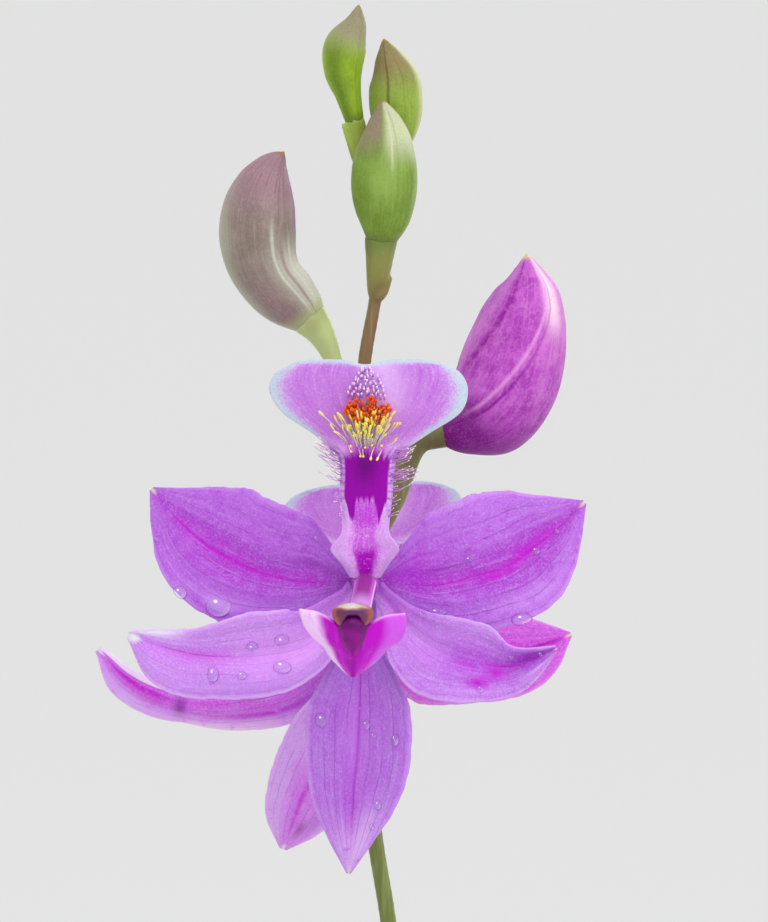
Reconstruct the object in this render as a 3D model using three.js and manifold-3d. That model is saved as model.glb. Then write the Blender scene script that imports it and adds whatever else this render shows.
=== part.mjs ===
// A grass pink orchid in a plain clay pot: one slender scape with two open flowers, two coloured
// buds and three green buds, and two grass-like leaves, standing in a peat and sand mix.
// Millimetres, +Z up. The origin is the centre of the pot's foot, and -Y is the side that the front
// flower faces.

import * as THREE from "three";
import { mergeVertices } from "three/addons/utils/BufferGeometryUtils.js";
import Module from "manifold-3d";

const wasm = await Module();
wasm.setup();

// Driving dimensions

const GAP = 0.3; // running clearance between touching pieces
const BLADE = 0.6; // thickness of sepals, petals, lips and leaves

const POT_HEIGHT = 90;
const POT_RIM_RADIUS = 52;
const POT_RIM_HEIGHT = 20;
const POT_RIM_STEP = 3.5; // how far the rim band stands out from the wall
const POT_FOOT_RADIUS = 34;
const POT_WALL = 4.5;
const POT_FLOOR = 6;
const POT_DRAIN_RADIUS = 6;
const POT_EDGE = 1.4; // rounding of the rim and the foot
const POT_CORNER = 3; // rounding inside, where the wall meets the floor
const POT_SIDES = 44;

const SOIL_TOP = 79; // height of the mix at the wall
const SOIL_MOUND = 2.2; // how much higher it is at the middle
const SOIL_GRAIN = 0.7; // height of the crumbs
const SOIL_RINGS = 7;
const SHOOT_HOLE_RADIUS = 3.7;
const SHOOT_HOLE_DEPTH = 24;

const STEM_RADII = [1.3, 1.25, 1.1, 1, 0.9, 0.8, 0.75, 0.75, 0.75, 0.7, 0.65, 0.5]; // from foot to top
const OVARY_RADIUS = 1.45; // where the sepals are seated
const OVARY_TIP_RADIUS = 1.05; // where the petals, lip and column are seated

// Where each flower's sepals and petals meet: the ovary's tip. facing is -1 towards -Y, +1 towards +Y.
const FRONT_FLOWER = { name: "front", centre: [-2.4, -9, 247.9], facing: -1 };
const BACK_FLOWER = { name: "back", centre: [-2.7, 9, 241.8], facing: 1 };

// Materials

const colour = (r, g, b) => new THREE.Color().setRGB(r / 255, g / 255, b / 255, THREE.SRGBColorSpace);
const finish = (name, hue, roughness) =>
  new THREE.MeshStandardMaterial({ name, color: hue, roughness, metalness: 0 });

const CLAY = finish("clay", colour(188, 104, 70), 0.85);
const PEAT = finish("peat", colour(58, 42, 32), 1);
const STEM_GREEN = finish("stem", colour(132, 134, 78), 0.5);
const LEAF_GREEN = finish("leaf", colour(96, 134, 52), 0.5);
const SHEATH_BROWN = finish("sheath", colour(150, 122, 84), 0.75);
const TEPAL_PINK = finish("tepal", colour(190, 106, 222), 0.45);
const LIP_PINK = finish("lip", colour(196, 134, 222), 0.45);
const ORANGE = finish("beard_orange", colour(222, 98, 28), 0.4);
const YELLOW = finish("beard_yellow", colour(240, 226, 96), 0.4);
const COLUMN_MAGENTA = finish("column", colour(172, 40, 176), 0.4);
const CAP_BROWN = finish("anther_cap", colour(150, 92, 70), 0.35);
const BUD_GREEN = finish("bud_green", colour(146, 176, 82), 0.45);
const BUD_ROSE = finish("bud_rose", colour(184, 70, 190), 0.45);
const BUD_BLUSH = finish("bud_blush", colour(164, 138, 140), 0.5);

// Helpers

const part = new THREE.Group();

// Each piece is one mesh with a material of its own.
function add(name, geometry, material) {
  const mesh = new THREE.Mesh(geometry, material.clone());
  mesh.name = name;
  part.add(mesh);
}

// A seeded draw from 0 to 1, the same each run.
function drawFrom(seed) {
  let state = seed;
  return () => {
    state = (state * 1664525 + 1013904223) % 4294967296;
    return state / 4294967296;
  };
}

// A copy whose neighbouring triangles share their corners.
function closed(geometry) {
  const bare = geometry.clone();
  bare.deleteAttribute("normal");
  bare.deleteAttribute("uv");
  return mergeVertices(bare, 1e-4);
}

function solidOf(geometry) {
  const merged = closed(geometry);
  return new wasm.Manifold(
    new wasm.Mesh({
      numProp: 3,
      vertProperties: merged.attributes.position.array,
      triVerts: new Uint32Array(merged.index.array),
    }),
  );
}

function geometryOf(solid) {
  const mesh = solid.getMesh();
  const position = new THREE.BufferAttribute(new Float32Array(mesh.vertProperties), 3);
  return new THREE.BufferGeometry()
    .setAttribute("position", position)
    .setIndex(new THREE.BufferAttribute(mesh.triVerts, 1));
}

// One body from several that overlap, with any pocket sealed in between them filled.
function joined(geometries) {
  const whole = geometries.map(solidOf).reduce((a, b) => a.add(b));
  const shells = whole.decompose().filter((shell) => shell.volume() > 0);
  return geometryOf(wasm.Manifold.compose(shells));
}

const curveThrough = (points) =>
  new THREE.CatmullRomCurve3(points.map((p) => new THREE.Vector3(...p)), false, "centripetal");

// A smooth value through a short list of values spread evenly from 0 to 1.
function profile(values) {
  const points = values.map((value, i) => new THREE.Vector3(i / (values.length - 1), value, 0));
  const curve = new THREE.CatmullRomCurve3(points, false, "catmullrom", 0.5);
  return (u) => curve.getPoint(THREE.MathUtils.clamp(u, 0, 1)).y;
}

// A round body along a curve. radii is a short list from root to tip, and shape(angle, t) swells or
// pinches the section.
function swept(curve, radii, sides, steps, shape = () => 1) {
  const geometry = new THREE.CylinderGeometry(1, 1, 1, sides, steps);
  const position = geometry.attributes.position;
  const radius = profile(radii);
  const frames = curve.computeFrenetFrames(steps, false);
  for (let i = 0; i < position.count; i++) {
    const t = position.getY(i) + 0.5;
    const step = Math.round(t * steps);
    const angle = Math.atan2(position.getZ(i), position.getX(i));
    const reach = Math.hypot(position.getX(i), position.getZ(i)) * radius(t) * shape(angle, t);
    const place = curve
      .getPointAt(t)
      .addScaledVector(frames.normals[step], reach * Math.cos(angle))
      .addScaledVector(frames.binormals[step], -reach * Math.sin(angle));
    position.setXYZ(i, place.x, place.y, place.z);
  }
  return geometry;
}

// A thin closed blade: surface(u, v) gives its middle, with u from 0 at the root to 1 at the tip and v
// from -1 to 1 across. Both faces are split alike.
function thinBlade(surface, alongSteps, acrossSteps, thickness = BLADE) {
  const plane = new THREE.PlaneGeometry(2, 1, acrossSteps, alongSteps);
  const columns = acrossSteps + 1;
  const count = plane.attributes.position.count;
  const near = 0.01; // how far apart the two points are that a slope is taken from
  const points = [];
  for (const side of [0.5, -0.5])
    for (let i = 0; i < count; i++) {
      const u = plane.attributes.position.getY(i) + 0.5;
      const v = plane.attributes.position.getX(i);
      const along = surface(Math.min(u + near, 1), v).sub(surface(Math.max(u - near, 0), v));
      const across = surface(u, Math.min(v + near, 1)).sub(surface(u, Math.max(v - near, -1)));
      const normal = across.cross(along).normalize();
      points.push(...surface(u, v).addScaledVector(normal, side * thickness));
    }
  const faces = [];
  const top = plane.index.array;
  for (let i = 0; i < top.length; i += 3) {
    faces.push(top[i], top[i + 1], top[i + 2]);
    faces.push(top[i] + count, top[i + 2] + count, top[i + 1] + count);
  }
  const rim = [];
  for (let x = 0; x < acrossSteps; x++) rim.push(x);
  for (let y = 0; y < alongSteps; y++) rim.push(y * columns + acrossSteps);
  for (let x = acrossSteps; x > 0; x--) rim.push(alongSteps * columns + x);
  for (let y = alongSteps; y > 0; y--) rim.push(y * columns);
  rim.forEach((a, i) => {
    const b = rim[(i + 1) % rim.length];
    faces.push(a, b, a + count, b, b + count, a + count);
  });
  return new THREE.BufferGeometry()
    .setAttribute("position", new THREE.Float32BufferAttribute(points, 3))
    .setIndex(faces);
}

// Flower-local coordinates are [right, out, up]: right and up as seen from -Y, and out along the way
// the flower faces.
const placer = (flower) => (right, out, up) =>
  new THREE.Vector3(
    flower.centre[0] + right,
    flower.centre[1] + out * flower.facing,
    flower.centre[2] + up,
  );

const TEPAL_STEPS = 12; // from root to tip, and twice as many as across
const RIPPLE_RATE = 19; // three ripples from root to tip

// A sepal or petal. spine is its midrib, over and under are its half-widths on the midrib's upper (or
// left) and lower (or right) side, cup is how far the margins come forward, keel is how deep the
// midrib's groove is, and wave is the height of the margin's ripples.
function tepal(flower, { spine, over, under, cup, keel, wave = 0 }) {
  const place = placer(flower);
  const midrib = curveThrough(spine);
  const [overWidth, underWidth] = [profile(over), profile(under)];
  const mirrored = Math.sign(spine.at(-1)[0] - spine[0][0]) || 1;
  const surface = (u, v) => {
    const middle = midrib.getPointAt(u);
    const tangent = midrib.getTangentAt(u);
    const side = new THREE.Vector3(-tangent.z, 0, tangent.x).normalize().multiplyScalar(mirrored);
    const width = v > 0 ? v * overWidth(u) : v * underWidth(u);
    const edge = v * v;
    const groove = keel * (1 - Math.min(1, Math.abs(v) * 3)) * Math.sin(Math.PI * u);
    const ripple = wave * edge * Math.sin(RIPPLE_RATE * u + 2 * v);
    const spread = cup * edge * Math.sin(Math.PI * Math.min(1, u * 1.1 + 0.02));
    return place(middle.x + side.x * width, middle.y + spread - groove + ripple, middle.z + side.z * width);
  };
  return thinBlade(surface, TEPAL_STEPS, TEPAL_STEPS / 2);
}

// Pot and potting mix

// The outside of the pot's wall at height z.
function wallRadius(z) {
  return POT_FOOT_RADIUS + ((POT_RIM_RADIUS - POT_RIM_STEP - POT_FOOT_RADIUS) * z) / POT_HEIGHT;
}

const POT_INNER_TOP = wallRadius(POT_HEIGHT) - POT_WALL + 1;
const POT_INNER_FOOT = wallRadius(POT_FLOOR) - POT_WALL;

// The inside of the pot at height z, from the rounded corner of its floor up.
function insideRadius(z) {
  const share = (z - POT_FLOOR - POT_CORNER) / (POT_HEIGHT - POT_EDGE - POT_FLOOR - POT_CORNER);
  return THREE.MathUtils.lerp(POT_INNER_FOOT, POT_INNER_TOP, share);
}

function potGeometry() {
  const shoulder = POT_HEIGHT - POT_RIM_HEIGHT;
  const outline = [
    [0, 0],
    [POT_FOOT_RADIUS - POT_EDGE, 0],
    [POT_FOOT_RADIUS, POT_EDGE],
    [wallRadius(shoulder), shoulder - POT_EDGE],
    [POT_RIM_RADIUS - POT_EDGE, shoulder],
    [POT_RIM_RADIUS - POT_EDGE / 2, shoulder + POT_EDGE],
    [POT_RIM_RADIUS, POT_HEIGHT - 2 * POT_EDGE],
    [POT_RIM_RADIUS - POT_EDGE, POT_HEIGHT],
    [POT_INNER_TOP + POT_EDGE, POT_HEIGHT],
    [POT_INNER_TOP, POT_HEIGHT - POT_EDGE],
    [POT_INNER_FOOT, POT_FLOOR + POT_CORNER],
    [POT_INNER_FOOT - POT_CORNER, POT_FLOOR],
    [0, POT_FLOOR],
  ].map(([r, z]) => new THREE.Vector2(r, z));
  const body = new THREE.LatheGeometry(outline, POT_SIDES).rotateX(Math.PI / 2);
  const drain = new THREE.CylinderGeometry(POT_DRAIN_RADIUS, POT_DRAIN_RADIUS, 3 * POT_FLOOR, 20);
  drain.rotateX(Math.PI / 2);
  return geometryOf(solidOf(body).subtract(solidOf(drain)));
}

// Uneven crumbs, from -1 to 1, as a smooth function of the place.
const crumbAt = (x, y) =>
  Math.sin(5.1 * x + 2 * Math.sin(3.7 * y)) * Math.cos(4.7 * y + 2 * Math.sin(3.1 * x));

function soilGeometry() {
  const edge = insideRadius(SOIL_TOP) - 2 * GAP;
  const outline = [
    [0, POT_FLOOR + GAP],
    [POT_INNER_FOOT - POT_CORNER - 2 * GAP, POT_FLOOR + GAP],
    [POT_INNER_FOOT - 2 * GAP, POT_FLOOR + POT_CORNER + GAP],
    [edge, SOIL_TOP - GAP],
  ];
  for (let ring = SOIL_RINGS - 1; ring >= 0; ring--) {
    const share = ring / SOIL_RINGS;
    outline.push([edge * share, SOIL_TOP + SOIL_MOUND * (1 - share * share)]);
  }
  const points = outline.map(([r, z]) => new THREE.Vector2(r, z));
  const body = new THREE.LatheGeometry(points, POT_SIDES).rotateX(Math.PI / 2);
  const position = body.attributes.position;
  for (let i = 0; i < position.count; i++) {
    const [x, y, z] = [position.getX(i), position.getY(i), position.getZ(i)];
    if (z > SOIL_TOP && Math.hypot(x, y) > 1) position.setZ(i, z + SOIL_GRAIN * crumbAt(x, y));
  }
  const hole = new THREE.CylinderGeometry(SHOOT_HOLE_RADIUS, SHOOT_HOLE_RADIUS, 2 * SHOOT_HOLE_DEPTH, 16);
  hole.rotateX(Math.PI / 2).translate(0, 0, SOIL_TOP + SOIL_MOUND);
  return geometryOf(solidOf(body).subtract(solidOf(hole)));
}

// Scape: the stem, its flower stalks with their ovaries, and a bract under each

const SHOOT_FOOT = SOIL_TOP + SOIL_MOUND - SHOOT_HOLE_DEPTH + GAP;

const STEM_PATH = [
  [0, 0, SHOOT_FOOT],
  [0, 0, SOIL_TOP + 2],
  [0, 0, 94],
  [0.9, 0.3, 112],
  [2.5, 0.4, 146],
  [2.8, 0.2, 178],
  [1.4, 0, 203],
  [-0.4, 0, 217],
  [-1.6, 0, 224.6],
  [-2.6, 0.2, 236],
  [-3.1, 0.3, 248],
  [-3.2, 0.2, 257],
  [-2.5, 0, 267.4],
  [-1.4, 0.2, 274.2],
  [-1.3, 1.2, 279],
  [-1.9, 1.6, 285.6],
];

// Each stalk runs from the stem to the seat of its flower or bud, with radii from root to seat.
const STALKS = {
  front_flower: {
    path: [
      [-2.9, 0.2, 239.2],
      [-3, -2.2, 242.1],
      [-2.7, -5.2, 246.3],
      [-2.4, -7.4, 247.8],
      [-2.4, -9.6, 247.9],
    ],
    radii: [0.7, 0.85, 1.25, OVARY_RADIUS, OVARY_TIP_RADIUS],
  },
  back_flower: {
    path: [
      [-2.3, 0.1, 232.5],
      [-2.4, 2.3, 235.6],
      [-2.6, 5.2, 239.9],
      [-2.7, 7.4, 241.7],
      [-2.7, 9.6, 241.8],
    ],
    radii: [0.7, 0.85, 1.25, OVARY_RADIUS, OVARY_TIP_RADIUS],
  },
  rose_bud: {
    path: [
      [-3.1, 0.3, 248],
      [-1.2, 0.9, 251.2],
      [0.2, 1.2, 254.8],
      [1.3, 1.3, 258.6],
      [2.6, 1.3, 260.3],
      [3.9, 1.3, 260.7],
    ],
    radii: [0.6, 0.6, 0.65, 1.05, 1.3, 1.05],
  },
  blush_bud: {
    path: [
      [-3.1, 0.1, 260.5],
      [-4.2, 0.4, 264.6],
      [-5.5, 0.6, 268.1],
      [-6.3, 0.7, 269.8],
      [-6.9, 0.8, 270.7],
    ],
    radii: [0.6, 0.7, 0.85, 1, 1.15],
  },
  green_front_bud: {
    path: [[-1.5, 0.1, 273.6], [-1.25, -1, 275.6], [-1.05, -1.7, 277.9]],
    radii: [0.7, 0.85, 1.15],
  },
  green_left_bud: {
    path: [[-1.9, 1.5, 284.4], [-2.6, 1.6, 286.6], [-3.1, 1.6, 288.5]],
    radii: [0.5, 0.6, 0.8],
  },
  green_right_bud: {
    path: [[-1.9, 1.5, 284.4], [-0.6, 1.8, 284.9], [0.1, 1.9, 285.6], [0.3, 1.9, 286.4]],
    radii: [0.5, 0.55, 0.7, 0.85],
  },
};

// Bracts: [root, tip], each a small pointed scale on the stem.
const BRACTS = [
  [[-2.2, 0.6, 231.6], [-0.8, 1.4, 236.8]],
  [[-3.2, -0.3, 238.2], [-4.4, -0.6, 243.2]],
  [[-2.7, 0.8, 247.6], [-1.3, 2.2, 251.6]],
  [[-3.4, 0.2, 259.6], [-5, 0.4, 264.4]],
  [[-1.3, -0.3, 273.2], [0, -0.7, 275.3]],
  [[-2.3, 1, 284], [-4.55, 0.95, 289.2]],
];

function bractGeometry([root, tip]) {
  const middle = root.map((value, i) => (value + tip[i]) / 2);
  middle[1] += 0.1; // a slight bow
  const flattened = (angle) => 0.6 + 0.4 * Math.abs(Math.cos(angle));
  return swept(curveThrough([root, middle, tip]), [0.65, 0.75, 0.5, 0.15], 6, 4, flattened);
}

function scapeGeometry() {
  const stem = swept(curveThrough(STEM_PATH), STEM_RADII, 8, 32);
  const stalks = Object.values(STALKS).map(({ path, radii }) =>
    swept(curveThrough(path), radii, 8, path.length + 1),
  );
  return joined([stem, ...stalks, ...BRACTS.map(bractGeometry)]);
}

// Leaves and the sheath round their foot

const CLASP_RADIUS = 1.95; // of a leaf's foot, clear of the stem
const CLASP_ANGLE = 1.15; // how far round the stem it reaches each way
const OPENING = 0.25; // the share of a leaf over which it flattens

// A grass-like leaf that clasps the stem at its foot, opens out from the share opensAt of its length
// and arches towards heading, in degrees. height is that of its tip and droop how much that bends down.
function leafGeometry({ heading, height, reach, halfWidth, droop, opensAt }) {
  const turn = THREE.MathUtils.degToRad(heading);
  const foot = SHOOT_FOOT + 2;
  const surface = (u, v) => {
    const open = THREE.MathUtils.smoothstep(u, opensAt, opensAt + OPENING);
    const past = Math.max(0, u - opensAt);
    const lift = foot + (height - foot) * (u - droop * Math.max(0, u - 0.7) ** 2);
    const away = CLASP_RADIUS + 0.35 * open + 1.8 * reach * past ** 1.7;
    const taper = Math.cos((Math.PI / 2) * Math.max(0, (u - 0.45) / 0.56)) ** 0.8;
    const ribs = 0.25 * Math.cos(v * Math.PI * 3);
    const flat = {
      side: v * Math.max(halfWidth * taper, 0.4),
      out: away - 0.16 * halfWidth * v * v - ribs * open,
    };
    const clasp = {
      side: CLASP_RADIUS * Math.sin(v * CLASP_ANGLE),
      out: CLASP_RADIUS * Math.cos(v * CLASP_ANGLE) + away - CLASP_RADIUS,
    };
    const side = THREE.MathUtils.lerp(clasp.side, flat.side, open);
    const out = THREE.MathUtils.lerp(clasp.out, flat.out, open);
    return new THREE.Vector3(
      out * Math.cos(turn) - side * Math.sin(turn),
      out * Math.sin(turn) + side * Math.cos(turn),
      lift,
    );
  };
  return thinBlade(surface, 16, 6);
}

const LEAVES = {
  long: { heading: 150, height: 206, reach: 40, halfWidth: 4.6, droop: 0.5, opensAt: 0.24 },
  short: { heading: -30, height: 160, reach: 36, halfWidth: 3.4, droop: 0.6, opensAt: 0.31 },
};

// A split tube that wraps the shoot's foot and ends in a point on one side.
function sheathGeometry() {
  const radius = CLASP_RADIUS + 1;
  const foot = SHOOT_FOOT + 1;
  const [halfTurn, pointAt] = [2.7, 0.6];
  const surface = (u, v) => {
    const arc = v * halfTurn + pointAt;
    const top = SOIL_TOP + 11 - 5 * v * v;
    const flare = radius + 0.3 * u * u;
    return new THREE.Vector3(flare * Math.cos(arc), flare * Math.sin(arc), foot + (top - foot) * u);
  };
  return thinBlade(surface, 4, 12, 0.5);
}

// Buds

const BUD_STEPS = 12;

// Three closed sepals: a rounded body with three seams of depth seam, turned by turn, tapering to a
// small point. stations is a list of [x, y, z, radius] from the seat to the tip.
function budGeometry({ stations, seam, turn }) {
  const curve = curveThrough(stations.map((station) => station.slice(0, 3)));
  const last = stations.length - 1;
  const lengths = curve.getLengths(BUD_STEPS * last);
  const marks = stations.map((_, i) => lengths[BUD_STEPS * i] / lengths.at(-1));
  const section = (angle, t) => {
    const next = THREE.MathUtils.clamp(marks.filter((mark) => mark < t).length, 1, last);
    const share = (t - marks[next - 1]) / (marks[next] - marks[next - 1]);
    const radius = THREE.MathUtils.lerp(stations[next - 1][3], stations[next][3], share);
    return radius * (1 + seam * Math.sin(Math.PI * t) * Math.cos(3 * (angle + turn)));
  };
  return swept(curve, [1, 1], BUD_STEPS, BUD_STEPS, section);
}

const BUDS = {
  rose: {
    material: BUD_ROSE,
    seam: 0.09,
    turn: 0.35,
    stations: [
      [4.4, 1.3, 260.8, 0.95],
      [6.3, 1.2, 261.2, 2.3],
      [8.6, 1, 262.6, 4.1],
      [10.2, 0.8, 265.2, 4.7],
      [11.3, 0.7, 268.2, 4.6],
      [12.05, 0.6, 271.5, 3.95],
      [12.4, 0.5, 274.1, 2.85],
      [12.35, 0.5, 276, 1.25],
      [12.2, 0.5, 277.35, 0.15],
    ],
  },
  blush: {
    material: BUD_BLUSH,
    seam: 0.08,
    turn: 0.2,
    stations: [
      [-7.2, 0.9, 271.1, 1.3],
      [-8.2, 0.9, 272.2, 2.25],
      [-9.5, 0.9, 273.5, 2.8],
      [-10.9, 0.8, 275.1, 3],
      [-11.7, 0.8, 276.9, 3.3],
      [-12, 0.8, 279.3, 3.5],
      [-11.8, 0.8, 282, 3.2],
      [-11.3, 0.7, 284, 2.4],
      [-10.6, 0.7, 285.5, 1.35],
      [-9.75, 0.7, 286.6, 0.15],
    ],
  },
  green_front: {
    material: BUD_GREEN,
    seam: 0.06,
    turn: 0.9,
    stations: [
      [-1, -1.8, 278.4, 1.25],
      [-0.7, -2, 280.6, 2.4],
      [-0.6, -2.1, 283, 2.95],
      [-0.55, -2.1, 285.6, 2.88],
      [-0.5, -2.1, 287.9, 2.3],
      [-0.65, -2.1, 289.8, 1.35],
      [-0.9, -2.1, 291.4, 0.12],
    ],
  },
  green_left: {
    material: BUD_GREEN,
    seam: 0.08,
    turn: 0.5,
    stations: [
      [-3.3, 1.6, 289, 0.8],
      [-3.9, 1.6, 291.7, 1.2],
      [-4.3, 1.6, 293.9, 1.75],
      [-4.1, 1.6, 296.1, 1.92],
      [-3.3, 1.6, 298.2, 1.05],
      [-3, 1.6, 299.9, 0.12],
    ],
  },
  green_right: {
    material: BUD_GREEN,
    seam: 0.05,
    turn: 0.2,
    stations: [
      [0.35, 1.9, 286.85, 0.95],
      [0.45, 2, 288.1, 1.75],
      [0.45, 2, 289.7, 2.3],
      [0.4, 2, 291.4, 2.42],
      [0.3, 2, 293.2, 2.2],
      [-0.25, 2, 295.1, 1.3],
      [-0.75, 2, 296.8, 0.12],
    ],
  },
};

// Flowers

// Sepals sit behind the petals, so their seats are at different depths along the ovary.
const SEPAL_SEAT = -0.9;
const PETAL_SEAT = 0.35;
const SEAT = OVARY_RADIUS + GAP;
const TIP_SEAT = OVARY_TIP_RADIUS + GAP + 0.15;

const FRONT_TEPALS = {
  left_sepal: {
    spine: [
      [-SEAT, SEPAL_SEAT, 0.2],
      [-5.7, -0.9, 0.2],
      [-9.5, -1, 1],
      [-14.2, -1.5, 3.3],
      [-17.1, -2, 5.9],
      [-19.3, -2.2, 8.5],
    ],
    over: [1.4, 5.4, 6.2, 6.5, 6.5, 6.5, 5.5, 3.2, 0.25],
    under: [1, 2.4, 3.8, 4.9, 5.4, 5.1, 4.1, 2.2, 0.2],
    cup: 0.5,
    keel: 0.35,
  },
  right_sepal: {
    spine: [
      [SEAT, SEPAL_SEAT, 0.2],
      [5.5, -0.9, -0.2],
      [8.5, -1, 0.3],
      [12.7, -1.4, 1.5],
      [16.4, -1.8, 4.1],
      [19.8, -2, 7.3],
    ],
    over: [1.4, 5.7, 6.5, 7, 7.3, 7.1, 5.9, 3.4, 0.25],
    under: [1, 2.7, 4.3, 5, 5, 5.1, 4.1, 2.2, 0.2],
    cup: 0.5,
    keel: 0.35,
  },
  dorsal_sepal: {
    spine: [
      [0, SEPAL_SEAT, -SEAT],
      [-0.3, -0.9, -5.8],
      [-0.5, -0.3, -12.2],
      [-1, 0.4, -18.4],
      [-1.5, 1.2, -26],
    ],
    over: [1, 1.5, 3.1, 4.6, 4.8, 4.4, 3.6, 2.1, 0.2],
    under: [1, 1.4, 3, 4.4, 4.8, 4.7, 3.8, 2.1, 0.2],
    cup: 0.6,
    keel: 0.35,
  },
  left_petal: {
    spine: [
      [-TIP_SEAT, PETAL_SEAT, -0.9],
      [-5, 0.9, -5.2],
      [-9.4, 1.4, -6.3],
      [-14, 1.5, -6.3],
      [-17.6, 1.7, -5.6],
      [-21.3, 2.2, -4.3],
    ],
    over: [0.8, 2.2, 3.6, 3.9, 4, 3.2, 2.2, 1.4, 0.3],
    under: [0.8, 1.4, 2.5, 3.5, 3.7, 3.8, 4, 3.1, 0.35],
    cup: 0.8,
    keel: 0.3,
    wave: 0.12,
  },
  right_petal: {
    spine: [
      [TIP_SEAT, PETAL_SEAT, -0.9],
      [5, 0.9, -4.9],
      [9, 1.4, -6.7],
      [13, 1.6, -7.3],
      [17.2, 2.2, -5.6],
    ],
    over: [0.8, 1.5, 2.6, 3.3, 3.6, 3.5, 2.2, 1.1, 0.25],
    under: [0.8, 1.6, 3.3, 4.3, 4, 3.4, 2.6, 1.5, 0.25],
    cup: 0.8,
    keel: 0.3,
    wave: 0.12,
  },
};

const BACK_TEPALS = {
  left_sepal: {
    spine: [
      [-SEAT, SEPAL_SEAT, 0.4],
      [-6, -1.1, 2.6],
      [-10, -1.4, 5.2],
      [-13.6, -1.2, 8.4],
      [-16.4, -0.8, 12],
    ],
    over: [1, 2.7, 4.2, 4.9, 5, 4.6, 3.7, 2.1, 0.25],
    under: [1, 2.7, 4.2, 4.9, 5, 4.6, 3.7, 2.1, 0.2],
    cup: 0.5,
    keel: 0.35,
  },
  right_sepal: {
    spine: [
      [SEAT, SEPAL_SEAT, 0],
      [6.5, -1.1, -1.3],
      [11, -1.4, -2],
      [15.3, -1.7, -1.3],
      [19.1, -2.2, 0.4],
    ],
    over: [1, 2.6, 4, 4.5, 4.6, 4.7, 4.1, 2.5, 0.25],
    under: [1, 3.6, 4.9, 4.6, 4, 3.8, 3.4, 2.2, 0.2],
    cup: 0.5,
    keel: 0.4,
  },
  dorsal_sepal: {
    spine: [
      [-0.1, SEPAL_SEAT, -SEAT],
      [-1.5, -1.1, -6],
      [-3.8, -1.2, -11.2],
      [-5.8, -0.4, -15.6],
      [-7.3, 1, -19.6],
    ],
    over: [1, 1.7, 2.9, 3.7, 3.9, 3.8, 3.35, 2.5, 0.35],
    under: [1, 1.6, 2.4, 3.3, 3.8, 4, 3.6, 2.5, 0.35],
    cup: 0.8,
    keel: 0.4,
  },
  left_petal: {
    spine: [
      [-TIP_SEAT, PETAL_SEAT, -0.7],
      [-6.5, 0.9, -4.9],
      [-12.4, 1.4, -6.2],
      [-17.6, 1.6, -5.9],
      [-21.2, 1.8, -4.2],
      [-24.3, 2, -1.3],
    ],
    over: [0.8, 1.6, 2.2, 2.6, 2.4, 1.8, 1.2, 0.9, 0.3],
    under: [0.8, 2.1, 2.9, 2.8, 2.5, 1.9, 2.1, 1.9, 0.3],
    cup: 0.9,
    keel: 0.3,
    wave: 0.14,
  },
  right_petal: {
    spine: [
      [TIP_SEAT, PETAL_SEAT, -0.8],
      [4.8, 0.9, -3.3],
      [8.4, 1.6, -3.1],
      [12.2, 2.6, -1.9],
      [15.6, 4, 0],
    ],
    over: [0.8, 1.5, 2.4, 2.9, 3, 2.7, 2, 1.2, 0.25],
    under: [0.8, 1.5, 2.4, 2.9, 3, 2.7, 2, 1.2, 0.25],
    cup: 0.8,
    keel: 0.3,
    wave: 0.12,
  },
};

// The lip stands above the ovary: a foot with two ears, a claw, and an anvil-shaped blade.
// Each station is [up, out, left, right]: its height, its depth and how far it reaches each way.
const LIP_STATIONS = [
  [1.45, 1.4, 0.9, 0.9],
  [2.1, 1.7, 2.2, 2.2],
  [3.4, 1.9, 3.1, 3],
  [4.7, 2, 2.2, 2.2],
  [6.1, 2.1, 2.1, 2.2],
  [8.1, 2.3, 2.3, 2.4],
  [10.4, 2.5, 2.2, 2.6],
  [11.9, 2.6, 2.6, 3.1],
  [13.7, 2.7, 4.6, 5.6],
  [15.6, 2.7, 7.4, 8.5],
  [17.6, 2.5, 8.6, 9.2],
  [19.2, 2.3, 8, 8.5],
  [20.4, 2.1, 6.3, 6.8],
];

// The back lip is a little smaller, turned on its claw and bent forward over its column, and the
// corners of its blade droop.
const LIP_POSE = {
  front: { size: 1, twist: 0, sway: 0, bend: 0, droop: 0 },
  back: { size: 0.93, twist: -0.05, sway: 0.06, bend: 0.78, droop: 0.9 },
};
const BEND_FROM = 3; // height at which the claw starts to bend
const BEND_OVER = 4; // height over which it bends
const PAD = 0.5; // thickness of the pads that the beard's clubs stand on

const BEARDS = {
  orange: { uFrom: 0.71, uTo: 0.785, reach: 0.27, rows: 3, perRow: 5, length: 1.1, fan: 0.3, drop: 0 },
  yellow: { uFrom: 0.625, uTo: 0.69, reach: 0.4, rows: 2, perRow: 7, length: 1.7, fan: 0.9, drop: 0.05 },
};

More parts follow.
